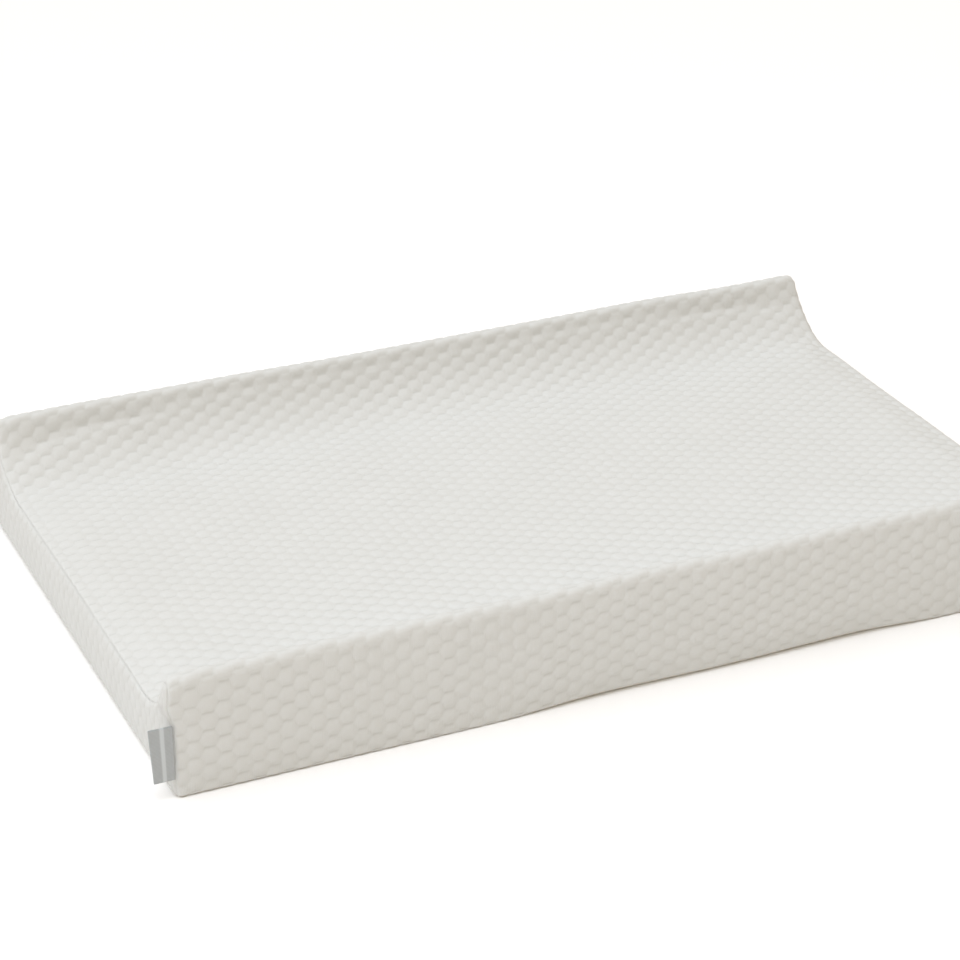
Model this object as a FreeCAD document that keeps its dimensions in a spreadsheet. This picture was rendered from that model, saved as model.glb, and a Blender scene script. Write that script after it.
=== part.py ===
import FreeCAD, Part
import math
import os
import Sketcher

# A contoured changing pad: a soft foam core with a raised bolster along each long side, a thin
# waterproof liner round it, and a removable knitted cover that closes with a zip along the back.
#
# Frame: +X along the pad, +Y towards the back, where the zip is, +Z up. The origin is the centre
# of the underside, on the surface that the pad lies on. Left and right are as seen from the front.

V = FreeCAD.Vector
SHEET = "Dimensions"

# Driving dimensions in millimetres and degrees: alias, value, what it is.
DIMENSIONS = (
    ("pad_length", 720.0, "overall length of the covered pad"),
    ("pad_width", 440.0, "overall width over both bolsters"),
    ("ridge_height", 90.0, "height of the bolsters above the underside"),
    ("floor_height", 48.5, "height of the lying surface above the underside"),
    ("ridge_radius", 6.5, "rounding on top of each bolster"),
    ("slope_radius", 60.0, "concave radius from the lying surface up to the bolster"),
    ("base_radius", 9.0, "rounding of the two long bottom edges"),
    ("end_radius", 5.0, "rounding of the edges round both short ends"),
    ("cover_gauge", 2.5, "thickness of the padded knit"),
    ("cover_ease", 0.6, "slack between the cover and the liner"),
    ("liner_gauge", 0.5, "thickness of the waterproof liner"),
    ("liner_ease", 0.3, "slack between the liner and the foam"),
    ("end_seam_inset", 6.0, "how far the end seams lie in from the short ends"),
    ("base_seam_height", 5.0, "height of the seam round the base panel"),
    ("zip_height", 22.0, "height of the zip's centre line"),
    ("zip_length", 600.0, "length of the zip tapes"),
    ("window_play", 0.7, "room for the slider above and below it in the cover's opening"),
    ("tape_width", 13.0, "width of one zip tape"),
    ("tape_gauge", 0.6, "thickness of a zip tape"),
    ("liner_clearance", 0.3, "room between the slider and the liner behind it"),
    ("tape_clearance", 0.15, "room round a tape in the hem that is sewn over it"),
    ("coil_width", 2.0, "width of one coil"),
    ("coil_rise", 1.5, "height of a coil on its tape"),
    ("coil_end_margin", 6.0, "bare tape beyond each end of the coils"),
    ("stop_length", 4.0, "length of a zip stop along the tape"),
    ("stop_wall", 0.4, "how far a stop wraps over its coil"),
    ("slider_length", 11.0, "length of the slider along the zip"),
    ("rim_play", 0.9, "room between a coil and the slider's rim beside it"),
    ("slider_plate", 0.8, "thickness of the slider's outer plate"),
    ("slider_back_plate", 0.7, "thickness of the slider's plate behind the tape"),
    ("slider_flange", 0.7, "thickness of the rims of the slider's outer plate"),
    ("slider_corner", 1.6, "rounding of the corners of the slider's plates"),
    ("slider_post_length", 3.5, "length of the post that parts the coils"),
    ("slider_post_width", 0.8, "width of the post that parts the coils"),
    ("slider_clearance", 0.3, "running clearance of the slider on the tape and coils"),
    ("slider_rest_gap", 1.0, "gap between the closed slider and the top stops"),
    ("bridge_span", 8.4, "outer length of the bridge that holds the pull tab"),
    ("bridge_width", 2.4, "width of the bridge"),
    ("bridge_leg", 1.2, "thickness of the bridge's legs"),
    ("bridge_bar", 1.0, "thickness of the bridge's bar"),
    ("tab_length", 24.0, "length of the pull tab from its pivot"),
    ("tab_width", 6.6, "width of the pull tab"),
    ("tab_gauge", 1.0, "thickness of the pull tab"),
    ("tab_pivot", 1.2, "diameter of the pull tab's cross bar"),
    ("tab_play", 0.4, "room under the cross bar, over the slider's plate"),
    ("tab_slot_reach", 2.0, "how far the pull tab's slot runs past the bridge"),
    ("tab_slot_play", 0.35, "play of the bridge in the slot, each side"),
    ("tab_eye", 2.6, "diameter of the hole in the pull tab's grip"),
    ("label_pivot_offset", 1.2, "how far a label's root stands off the corner's quarter round"),
    ("tag_height", 41.0, "width of the side tag's ribbon, upright"),
    ("tag_reach", 16.5, "how far the side tag stands out"),
    ("tag_bottom", 16.0, "height of the side tag's lower edge"),
    ("tag_ribbon", 0.5, "thickness of the side tag's ribbon"),
    ("tag_fold", 1.7, "thickness of the side tag over its fold"),
    ("care_height", 30.0, "width of the care label's ribbon, upright"),
    ("care_reach", 24.0, "how far the care label stands out"),
    ("care_bottom", 34.0, "height of the care label's lower edge"),
    ("care_ribbon", 0.3, "thickness of the care label's ribbon"),
    ("care_fold", 1.0, "thickness of the care label over its fold"),
    ("care_lean", 18.0, "angle between the care label and the back face"),
)
DIM = {alias: value for alias, value, note in DIMENSIONS}

# What each layer lies under, counted from the outside of the pad.
LAYERS = {
    "cover_face": (),
    "cover_back": ("cover_gauge",),
    "liner_face": ("cover_gauge", "cover_ease"),
    "liner_back": ("cover_gauge", "cover_ease", "liner_gauge"),
    "foam_core": ("cover_gauge", "cover_ease", "liner_gauge", "liner_ease"),
}

MARGIN = 50.0    # how far the cutting boxes reach past the pad
SAME = 1e-6      # lengths closer than this are the same
PARTS = []       # the objects that are written, one file each


def cell(name):
    """Returns how an expression names a cell of the sheet."""
    return SHEET + "." + name


def inset_text(layer):
    """Returns the expression for how deep a layer lies."""
    return " + ".join(["0"] + [cell(name) for name in LAYERS[layer]])


def inset_value(layer):
    """Returns how deep a layer lies, in millimetres."""
    return sum(DIM[name] for name in LAYERS[layer])


def make_sheet(doc):
    """Writes the driving dimensions into the document's spreadsheet."""
    sheet = doc.addObject("Spreadsheet::Sheet", SHEET)
    for row, (alias, value, note) in enumerate(DIMENSIONS, start=1):
        sheet.set("A%d" % row, note)
        sheet.set("B%d" % row, str(value))
        sheet.setAlias("B%d" % row, alias)
    doc.recompute()


def keep(obj, label):
    """Marks an object as a sub-part of the pad and gives it its name."""
    obj.Label = label
    PARTS.append(obj)
    return obj


def box(doc, name, low, high):
    """Makes a box from two corners, each three expressions."""
    solid = doc.addObject("Part::Box", name)
    for side, a, b in zip(("Length", "Width", "Height"), low, high):
        solid.setExpression(side, "(%s) - (%s)" % (b, a))
    for axis, a in zip("xyz", low):
        solid.setExpression("Placement.Base." + axis, a)
    return solid


def cut(doc, name, base, tool):
    """Takes one solid away from another."""
    result = doc.addObject("Part::Cut", name)
    result.Base = base
    result.Tool = tool
    return result


def common(doc, name, base, tool):
    """Keeps what two solids share."""
    result = doc.addObject("Part::Common", name)
    result.Base = base
    result.Tool = tool
    return result


def fuse(doc, name, shapes):
    """Joins solids into one."""
    result = doc.addObject("Part::MultiFuse", name)
    result.Shapes = shapes
    result.Refine = True
    return result


def round_edges(doc, name, base, radius, chosen):
    """Rounds the edges of a solid that the function chosen picks."""
    doc.recompute()
    result = doc.addObject("Part::Fillet", name)
    result.Base = base
    numbers = [n for n, edge in enumerate(base.Shape.Edges, start=1) if chosen(edge)]
    result.Edges = [(n, radius, radius) for n in numbers]
    return result


def origin_plane(body, role):
    """Returns one of a body's own origin planes."""
    return next(item for item in body.Origin.OriginFeatures if item.Role == role)


def new_sketch(body, name, role):
    """Attaches a new sketch to one of its body's origin planes."""
    sketch = body.newObject("Sketcher::SketchObject", name)
    sketch.AttachmentSupport = [(origin_plane(body, role), "")]
    sketch.MapMode = "FlatFace"
    return sketch


def dimension(sketch, expression, *arguments):
    """Adds a dimensional constraint and binds it to an expression."""
    index = sketch.addConstraint(Sketcher.Constraint(*arguments))
    sketch.setExpression("Constraints[%d]" % index, expression)


def arc_between(centre, radius, first, last):
    """Makes an arc from two angles in degrees, counted anticlockwise."""
    circle = Part.Circle(centre, V(0, 0, 1), radius)
    return Part.ArcOfCircle(circle, math.radians(first), math.radians(last))


# The section of the pad, the same for every layer but for its depth.

START, END, CENTRE = 1, 2, 3    # which point of a sketch element a constraint means
HORIZONTAL_AXIS, VERTICAL_AXIS = -1, -2


def section_sketch(body, layer):
    """Draws the pad's cross-section, at the depth of one layer."""
    inset = inset_value(layer)
    half = DIM["pad_width"] / 2 - inset
    top = DIM["ridge_height"] - inset
    floor = DIM["floor_height"] - inset
    ridge = DIM["ridge_radius"] - inset
    slope = DIM["slope_radius"] + inset
    edge = DIM["base_radius"] - inset
    crest = V(half - ridge, top - ridge, 0)
    rise = floor + slope - crest.y
    run = math.sqrt((slope + ridge) ** 2 - rise ** 2)
    hollow = V(crest.x - run, floor + slope, 0)
    turn = math.degrees(math.atan2(rise, run))

    sketch = new_sketch(body, layer + "_section", "YZ_Plane")
    sketch.addGeometry([
        Part.LineSegment(V(edge - half, inset, 0), V(half - edge, inset, 0)),
        arc_between(V(half - edge, inset + edge, 0), edge, 270, 360),
        Part.LineSegment(V(half, inset + edge, 0), V(half, crest.y, 0)),
        arc_between(crest, ridge, 0, 180 - turn),
        arc_between(hollow, slope, 270, 360 - turn),
        Part.LineSegment(V(hollow.x, floor, 0), V(-hollow.x, floor, 0)),
        arc_between(V(-hollow.x, hollow.y, 0), slope, 180 + turn, 270),
        arc_between(V(-crest.x, crest.y, 0), ridge, turn, 180),
        Part.LineSegment(V(-half, crest.y, 0), V(-half, inset + edge, 0)),
        arc_between(V(edge - half, inset + edge, 0), edge, 180, 270),
    ])
    joints = (
        (0, END, 1, START), (1, END, 2, START), (2, END, 3, START), (3, END, 4, END),
        (4, START, 5, START), (5, END, 6, END), (6, START, 7, START), (7, END, 8, START),
        (8, END, 9, START), (9, END, 0, START),
    )
    for first, first_end, second, second_end in joints:
        sketch.addConstraint(Sketcher.Constraint("Tangent", first, first_end, second, second_end))
    for line in (2, 8):
        sketch.addConstraint(Sketcher.Constraint("Vertical", line))
    sketch.addConstraint(Sketcher.Constraint("Symmetric", 0, START, 0, END, VERTICAL_AXIS))
    sketch.addConstraint(Sketcher.Constraint("Symmetric", 3, CENTRE, 7, CENTRE, VERTICAL_AXIS))
    for first, second in ((1, 9), (4, 6)):
        sketch.addConstraint(Sketcher.Constraint("Equal", first, second))
    depth = inset_text(layer)
    dimension(sketch, cell("base_radius") + " - (%s)" % depth, "Radius", 1, edge)
    dimension(sketch, cell("ridge_radius") + " - (%s)" % depth, "Radius", 3, ridge)
    dimension(sketch, cell("slope_radius") + " + (%s)" % depth, "Radius", 4, slope)
    dimension(sketch, cell("pad_width") + " / 2 - (%s)" % depth,
              "DistanceX", HORIZONTAL_AXIS, START, 2, START, half)
    dimension(sketch, cell("floor_height") + " - (%s)" % depth,
              "DistanceY", HORIZONTAL_AXIS, START, 5, START, floor)
    dimension(sketch, cell("ridge_height") + " - " + cell("ridge_radius"),
              "DistanceY", HORIZONTAL_AXIS, START, 3, CENTRE, crest.y)
    if inset:
        dimension(sketch, depth, "DistanceY", HORIZONTAL_AXIS, START, 0, START, inset)
    else:
        sketch.addConstraint(Sketcher.Constraint("PointOnObject", 0, START, HORIZONTAL_AXIS))
    return sketch


def contour_block(doc, layer):
    """Makes the whole pad's shape at the depth of one layer, with its ends rounded."""
    body = doc.addObject("PartDesign::Body", layer)
    sketch = section_sketch(body, layer)
    pad = body.newObject("PartDesign::Pad", layer + "_pad")
    pad.Profile = sketch
    pad.SideType = "Symmetric"
    pad.setExpression("Length", cell("pad_length") + " - 2 * (%s)" % inset_text(layer))
    sketch.Visibility = False
    doc.recompute()
    reach = DIM["pad_length"] / 2 - inset_value(layer)
    rims = [
        "Edge%d" % number for number, edge in enumerate(pad.Shape.Edges, start=1)
        if all(abs(abs(vertex.X) - reach) < SAME for vertex in edge.Vertexes)
        and edge.BoundBox.XLength < SAME
    ]
    rim = body.newObject("PartDesign::Fillet", layer + "_rim")
    rim.Base = (pad, rims)
    rim.setExpression("Radius", cell("end_radius") + " - (%s)" % inset_text(layer))
    body.Tip = rim
    doc.recompute()
    return body


# Cloth panels: each layer's shell is parted along its seams.

def seam_box(doc, name, x_range, y_range, z_range):
    """Makes the box that holds one panel, from three pairs of expressions."""
    low = [pair[0] for pair in (x_range, y_range, z_range)]
    high = [pair[1] for pair in (x_range, y_range, z_range)]
    return box(doc, name, low, high)


def spans():
    """Returns the expressions that the seam boxes are made of."""
    half_length = cell("pad_length") + " / 2"
    half_width = cell("pad_width") + " / 2"
    seam = "%s - %s" % (half_length, cell("end_seam_inset"))
    return {
        "outside_x": "%s + %s" % (half_length, MARGIN),
        "outside_y": "%s + %s" % (half_width, MARGIN),
        "above": "%s + %s" % (cell("ridge_height"), MARGIN),
        "below": str(-MARGIN),
        "seam": seam,
        "base_seam": cell("base_seam_height"),
        "zip": cell("zip_height"),
    }


def shell_panels(doc, layer, outer, inner):
    """Parts one layer's shell into its ends, its base and what goes over the top."""
    at = spans()
    across = ("-(%s)" % at["outside_y"], at["outside_y"])
    between = ("-(%s)" % at["seam"], at["seam"])
    zones = {
        "left_end": (("-(%s)" % at["outside_x"], "-(%s)" % at["seam"]), across,
                     (at["below"], at["above"])),
        "right_end": ((at["seam"], at["outside_x"]), across, (at["below"], at["above"])),
        "base": (between, across, (at["below"], at["base_seam"])),
        "wrap": (between, across, (at["base_seam"], at["above"])),
    }
    panels = {}
    for name, (x_range, y_range, z_range) in zones.items():
        shell = cut(doc, "%s_%s_shell" % (layer, name), outer, inner)
        zone = seam_box(doc, "%s_%s_zone" % (layer, name), x_range, y_range, z_range)
        panels[name] = common(doc, "%s_%s_panel" % (layer, name), shell, zone)
    return panels


def liner(doc, outer, inner):
    """Makes the welded waterproof liner."""
    for name, panel in shell_panels(doc, "liner", outer, inner).items():
        keep(panel, "liner_" + name)


# Where the zip lies. Its pieces are set out from the tape's outer face.

def total(*names):
    """Returns the expression for the sum of some cells."""
    return "(" + " + ".join(cell(name) for name in names) + ")"


def tape_face_text():
    """Returns the expression for how far back the tape's outer face lies.

    The slider runs clear of the liner behind it, and the tape clear of the slider's inner plate.
    """
    liner_face = "%s / 2 - %s" % (cell("pad_width"), total("cover_gauge", "cover_ease"))
    return "%s + %s" % (liner_face, total(
        "liner_clearance", "slider_back_plate", "slider_clearance", "tape_gauge"))


def coil_edge_text():
    """Returns the expression for how far each coil and tape stands off the centre line."""
    return "(%s / 2 + %s)" % (cell("slider_post_width"), cell("slider_clearance"))


def slider_half_width_text():
    """Returns the expression for half the slider's width: it reaches round both coils."""
    return "(%s + %s)" % (coil_edge_text(), total("coil_width", "rim_play", "slider_flange"))


def zip_opening(doc, name):
    """Makes the room that the zip takes in the cover: the window and the hems over the tapes."""
    face = "%s / 2" % cell("pad_width")
    half_zip = "%s / 2 + %s" % (cell("zip_length"), cell("tape_clearance"))
    reach = "%s + %s" % (coil_edge_text(), total("tape_width", "tape_clearance"))
    window_reach = "%s + %s" % (slider_half_width_text(), cell("window_play"))
    hem_face = "%s + %s" % (tape_face_text(), cell("tape_clearance"))
    window = box(
        doc, name + "_window",
        ("-(%s)" % half_zip, "%s - %s" % (face, MARGIN),
         "%s - (%s)" % (cell("zip_height"), window_reach)),
        (half_zip, "%s + %s" % (face, MARGIN),
         "%s + %s" % (cell("zip_height"), window_reach)),
    )
    hems = box(
        doc, name + "_hems",
        ("-(%s)" % half_zip, "%s - %s" % (face, MARGIN), "%s - (%s)" % (cell("zip_height"), reach)),
        (half_zip, hem_face, "%s + (%s)" % (cell("zip_height"), reach)),
    )
    return fuse(doc, name, [window, hems])


def cover(doc, outer, inner):
    """Makes the knitted cover: one cloth over front, top and back, two ends, base, back strip."""
    at = spans()
    panels = shell_panels(doc, "cover", outer, inner)
    for name in ("left_end", "right_end", "base"):
        keep(panels[name], "cover_" + name)
    below_zip = seam_box(
        doc, "below_zip_zone",
        ("-(%s)" % at["outside_x"], at["outside_x"]),
        ("0", at["outside_y"]),
        (at["below"], at["zip"]),
    )
    upper = cut(doc, "cover_above_zip", panels["wrap"], below_zip)
    lower = common(doc, "cover_below_zip", panels["wrap"], below_zip)
    keep(cut(doc, "cover_wrap_body", upper, zip_opening(doc, "wrap_opening")), "cover_wrap")
    keep(cut(doc, "cover_strip_body", lower, zip_opening(doc, "strip_opening")),
         "cover_back_strip")


# The zip's own pieces.

def mirrored_pair(doc, upper, label, z_low, z_high, low, high):
    """Makes a piece above the zip's centre line and the same piece below it."""
    for side, first, second in ((upper, z_low, z_high), (label, "-(%s)" % z_high, "-(%s)" % z_low)):
        solid = box(
            doc, side + "_body",
            (low[0], low[1], "%s + %s" % (cell("zip_height"), first)),
            (high[0], high[1], "%s + %s" % (cell("zip_height"), second)),
        )
        keep(solid, side)


def zip_tapes(doc):
    """Makes the two woven tapes."""
    half = "%s / 2" % cell("zip_length")
    edge = coil_edge_text()
    face = tape_face_text()
    mirrored_pair(
        doc, "zip_tape_upper", "zip_tape_lower", edge, "%s + %s" % (edge, cell("tape_width")),
        ("-(%s)" % half, "%s - %s" % (face, cell("tape_gauge"))), (half, face),
    )


def coil_reach():
    """Returns the expression for half the length of the coils."""
    return "%s / 2 - %s" % (cell("zip_length"), cell("coil_end_margin"))


def zip_coils(doc):
    """Makes the outer form of the two coils, each on the edge of its tape."""
    edge = coil_edge_text()
    face = tape_face_text()
    mirrored_pair(
        doc, "zip_coil_upper", "zip_coil_lower", edge, "%s + %s" % (edge, cell("coil_width")),
        ("-(%s)" % coil_reach(), face), (coil_reach(), "%s + %s" % (face, cell("coil_rise"))),
    )


def stop_corners(x_low, x_high, z_low, z_high):
    """Returns the two corners of a stop that stands on the tapes beyond the coils."""
    face = tape_face_text()
    top = "%s + %s + %s" % (face, cell("coil_rise"), cell("stop_wall"))
    low = (x_low, face, "%s + %s" % (cell("zip_height"), z_low))
    high = (x_high, top, "%s + %s" % (cell("zip_height"), z_high))
    return low, high


def zip_stops(doc):
    """Makes the two top stops, one on each tape, and the bottom stop across both tapes."""
    edge = coil_edge_text()
    outer = "%s + %s + %s" % (edge, cell("coil_width"), cell("stop_wall"))
    closed_end = coil_reach()
    tops = []
    for name, low_z, high_z in (("top_stop_a", edge, outer),
                                ("top_stop_b", "-(%s)" % outer, "-(%s)" % edge)):
        low, high = stop_corners(closed_end, "%s + %s" % (closed_end, cell("stop_length")),
                                 low_z, high_z)
        tops.append(box(doc, name, low, high))
    pair = doc.addObject("Part::Compound", "top_stop_pair")
    pair.Links = tops
    keep(pair, "zip_top_stops")
    low, high = stop_corners("-(%s) - %s" % (closed_end, cell("stop_length")),
                             "-(%s)" % closed_end, "-(%s)" % outer, outer)
    keep(box(doc, "bottom_stop", low, high), "zip_bottom_stop")


def slider_rest_text():
    """Returns the expression for where the closed slider's middle lies along the pad."""
    return "%s - %s - %s / 2" % (coil_reach(), cell("slider_rest_gap"), cell("slider_length"))


def slider_plate(doc, name, low_y, high_y):
    """Makes one of the slider's two plates, with rounded corners."""
    half_length = "%s / 2" % cell("slider_length")
    half_width = slider_half_width_text()
    middle = slider_rest_text()
    plate = box(
        doc, name + "_blank",
        ("%s - %s" % (middle, half_length), low_y, "%s - %s" % (cell("zip_height"), half_width)),
        ("%s + %s" % (middle, half_length), high_y, "%s + %s" % (cell("zip_height"), half_width)),
    )
    return round_edges(
        doc, name, plate, DIM["slider_corner"],
        lambda edge: edge.BoundBox.XLength < SAME and edge.BoundBox.ZLength < SAME,
    )


def slider_front_text():
    """Returns the expression for how far back the slider's outer plate ends."""
    return "%s + %s + %s + %s" % (
        tape_face_text(), cell("coil_rise"), cell("slider_clearance"), cell("slider_plate"))


def pivot_back_text():
    """Returns the expression for how far back the pull tab's pivot axis lies."""
    return "%s + %s + %s / 2" % (slider_front_text(), cell("tab_play"), cell("tab_pivot"))


def zip_slider(doc):
    """Makes the slider: two plates, a post between them, rims and the bridge for the tab."""
    middle = slider_rest_text()
    height = cell("zip_height")
    half_width = slider_half_width_text()
    half_length = "%s / 2" % cell("slider_length")
    front = slider_front_text()
    front_inside = "%s - %s" % (front, cell("slider_plate"))
    back_inside = "%s - %s - %s" % (tape_face_text(), cell("tape_gauge"), cell("slider_clearance"))
    pieces = [
        slider_plate(doc, "slider_outer_plate", front_inside, front),
        slider_plate(doc, "slider_inner_plate",
                     "%s - %s" % (back_inside, cell("slider_back_plate")), back_inside),
        box(
            doc, "slider_post",
            ("%s + %s - %s" % (middle, half_length, cell("slider_post_length")), back_inside,
             "%s - %s / 2" % (height, cell("slider_post_width"))),
            ("%s + %s - %s / 4" % (middle, half_length, cell("slider_post_length")), front_inside,
             "%s + %s / 2" % (height, cell("slider_post_width"))),
        ),
    ]
    straight = "%s - %s" % (half_length, cell("slider_corner"))
    rim_foot = "%s + %s" % (tape_face_text(), cell("slider_clearance"))
    for name, low_z, high_z in (
        ("slider_rim_a", "%s - %s" % (half_width, cell("slider_flange")), half_width),
        ("slider_rim_b", "-(%s)" % half_width, "-(%s) + %s" % (half_width, cell("slider_flange"))),
    ):
        pieces.append(box(
            doc, name,
            ("%s - (%s)" % (middle, straight), rim_foot, "%s + %s" % (height, low_z)),
            ("%s + (%s)" % (middle, straight), front, "%s + %s" % (height, high_z)),
        ))
    half_span = "%s / 2" % cell("bridge_span")
    half_bridge = "%s / 2" % cell("bridge_width")
    bar_foot = "%s + %s / 2 + %s" % (
        pivot_back_text(), cell("tab_pivot"), cell("slider_clearance"))
    bar_top = "%s + %s" % (bar_foot, cell("bridge_bar"))
    for name, low_x, high_x, low_y in (
        ("bridge_leg_a", "-(%s)" % half_span, "-(%s) + %s" % (half_span, cell("bridge_leg")), front),
        ("bridge_leg_b", "%s - %s" % (half_span, cell("bridge_leg")), half_span, front),
        ("bridge_bar", "-(%s)" % half_span, half_span, bar_foot),
    ):
        pieces.append(box(
            doc, name,
            ("%s + %s" % (middle, low_x), low_y, "%s - %s" % (height, half_bridge)),
            ("%s + %s" % (middle, high_x), bar_top, "%s + %s" % (height, half_bridge)),
        ))
    keep(fuse(doc, "slider_casting", pieces), "zip_slider")


def cylinder(doc, name, diameter, length, place, axis_rotation):
    """Makes a cylinder; place holds three expressions for the middle of its lower face."""
    solid = doc.addObject("Part::Cylinder", name)
    solid.setExpression("Radius", "(%s) / 2" % diameter)
    solid.setExpression("Height", length)
    solid.Placement = FreeCAD.Placement(V(0, 0, 0), axis_rotation)
    for axis, text in zip("xyz", place):
        solid.setExpression("Placement.Base." + axis, text)
    return solid


def zip_pull_tab(doc):
    """Makes the pull tab, lying along the closed zip, with its cross bar under the bridge."""
    pivot_x = slider_rest_text()
    pivot_y = pivot_back_text()
    height = cell("zip_height")
    half_gauge = "%s / 2" % cell("tab_gauge")
    half_width = "%s / 2" % cell("tab_width")
    half_slot = "%s / 2 + %s" % (cell("bridge_width"), cell("tab_slot_play"))
    slot_reach = "%s / 2 + %s" % (cell("bridge_span"), total("bridge_bar", "tab_slot_reach"))
    upright = FreeCAD.Rotation()
    outward = FreeCAD.Rotation(V(1, 0, 0), -90)
    tip = "%s - %s + %s" % (pivot_x, cell("tab_length"), half_width)
    low_y = "%s - %s" % (pivot_y, half_gauge)
    high_y = "%s + %s" % (pivot_y, half_gauge)
    grip = box(doc, "tab_grip", (tip, low_y, "%s - %s" % (height, half_width)),
               (pivot_x, high_y, "%s + %s" % (height, half_width)))
    nose = cylinder(doc, "tab_nose", cell("tab_width"), cell("tab_gauge"),
                    (tip, low_y, height), outward)
    slot = box(
        doc, "tab_slot",
        ("%s - (%s)" % (pivot_x, slot_reach), "%s - %s" % (low_y, MARGIN),
         "%s - (%s)" % (height, half_slot)),
        ("%s + %s" % (pivot_x, MARGIN), "%s + %s" % (high_y, MARGIN),
         "%s + %s" % (height, half_slot)),
    )
    eye = cylinder(doc, "tab_eye", cell("tab_eye"), "%s + 2 * %s" % (cell("tab_gauge"), MARGIN),
                   (tip, "%s - %s" % (low_y, MARGIN), height), outward)
    bar = cylinder(doc, "tab_cross_bar", cell("tab_pivot"), cell("tab_width"),
                   (pivot_x, pivot_y, "%s - %s" % (height, half_width)), upright)
    blank = fuse(doc, "tab_blank", [grip, nose])
    slotted = cut(doc, "tab_slotted", blank, slot)
    pierced = cut(doc, "tab_pierced", slotted, eye)
    keep(fuse(doc, "tab_body", [pierced, bar]), "zip_pull_tab")


# The two labels, each a folded ribbon caught in the upright seam of a left-hand corner.

def ribbon_label(doc, label, kind, side, turn_text, turn):
    """Makes a folded ribbon that reaches out from a corner seam.

    kind is the start of the label's names in the sheet; side is -1 at the front corner and 1 at
    the back one; turn is the ribbon's heading in degrees, anticlockwise from +X.
    """
    fold, ribbon, reach = DIM[kind + "_fold"], DIM[kind + "_ribbon"], DIM[kind + "_reach"]
    outer, inner = fold / 2, fold / 2 - ribbon
    body = doc.addObject("PartDesign::Body", label + "_body")
    sketch = new_sketch(body, label + "_section", "XY_Plane")
    tip = reach - outer
    sketch.addGeometry([
        Part.LineSegment(V(0, outer, 0), V(tip, outer, 0)),
        arc_between(V(tip, 0, 0), outer, -90, 90),
        Part.LineSegment(V(tip, -outer, 0), V(0, -outer, 0)),
        Part.LineSegment(V(0, -outer, 0), V(0, -inner, 0)),
        Part.LineSegment(V(0, -inner, 0), V(tip, -inner, 0)),
        arc_between(V(tip, 0, 0), inner, -90, 90),
        Part.LineSegment(V(tip, inner, 0), V(0, inner, 0)),
        Part.LineSegment(V(0, inner, 0), V(0, outer, 0)),
    ])
    for first, first_end, second, second_end in (
        (0, END, 1, END), (1, START, 2, START), (4, END, 5, START), (5, END, 6, START),
    ):
        sketch.addConstraint(Sketcher.Constraint("Tangent", first, first_end, second, second_end))
    for first, first_end, second, second_end in (
        (2, END, 3, START), (3, END, 4, START), (6, END, 7, START), (7, END, 0, START),
        (1, CENTRE, 5, CENTRE),
    ):
        sketch.addConstraint(Sketcher.Constraint("Coincident", first, first_end,
                                                 second, second_end))
    for line in (0, 2, 4, 6):
        sketch.addConstraint(Sketcher.Constraint("Horizontal", line))
    sketch.addConstraint(Sketcher.Constraint("PointOnObject", 0, START, VERTICAL_AXIS))
    for line in (3, 7):
        sketch.addConstraint(Sketcher.Constraint("Vertical", line))
    sketch.addConstraint(Sketcher.Constraint("PointOnObject", 3, START, VERTICAL_AXIS))
    sketch.addConstraint(Sketcher.Constraint("PointOnObject", 1, CENTRE, HORIZONTAL_AXIS))
    half_fold = cell(kind + "_fold") + " / 2"
    dimension(sketch, half_fold, "Radius", 1, outer)
    dimension(sketch, "%s - %s" % (half_fold, cell(kind + "_ribbon")), "Radius", 5, inner)
    dimension(sketch, "%s - %s" % (cell(kind + "_reach"), half_fold),
              "DistanceX", HORIZONTAL_AXIS, START, 1, CENTRE, tip)
    pad = body.newObject("PartDesign::Pad", label + "_pad")
    pad.Profile = sketch
    pad.setExpression("Length", cell(kind + "_height"))
    body.Tip = pad
    body.Placement = FreeCAD.Placement(V(0, 0, 0), FreeCAD.Rotation(V(0, 0, 1), turn))
    offset = "(%s + %s / 2) * cos(45)" % (
        total("end_radius", "label_pivot_offset"), cell(kind + "_fold"))
    corner_x = "-(%s / 2) + %s - %s" % (cell("pad_length"), cell("end_radius"), offset)
    corner_y = "%s / 2 - %s + %s" % (cell("pad_width"), cell("end_radius"), offset)
    body.setExpression("Placement.Base.x", corner_x)
    body.setExpression("Placement.Base.y", "%d * (%s)" % (side, corner_y))
    body.setExpression("Placement.Base.z", cell(kind + "_bottom"))
    body.setExpression("Placement.Rotation.Angle", turn_text)
    keep(body, label)


def check(doc):
    """Stops the build if any object failed or any sub-part is not one or more sound solids."""
    for obj in doc.Objects:
        if "Invalid" in obj.State or "Error" in obj.State:
            raise RuntimeError("%s failed: %s" % (obj.Name, obj.State))
        if obj.isDerivedFrom("Sketcher::SketchObject") and obj.solve() != 0:
            raise RuntimeError("%s can't be solved" % obj.Name)
    for part in PARTS:
        shape = part.Shape
        if shape.isNull() or not shape.isValid() or not shape.Solids:
            raise RuntimeError("%s has no sound shape" % part.Label)


def export():
    """Writes each sub-part to a file of its own."""
    os.makedirs("parts", exist_ok=True)
    for part in PARTS:
        part.Shape.exportStep("parts/%s.step" % part.Label)
        bounds = part.Shape.BoundBox
        print("%-18s %d solid(s) %12.1f mm3   x %7.1f %7.1f   y %7.1f %7.1f   z %6.1f %6.1f" % (
            part.Label, len(part.Shape.Solids), part.Shape.Volume,
            bounds.XMin, bounds.XMax, bounds.YMin, bounds.YMax, bounds.ZMin, bounds.ZMax))


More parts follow.
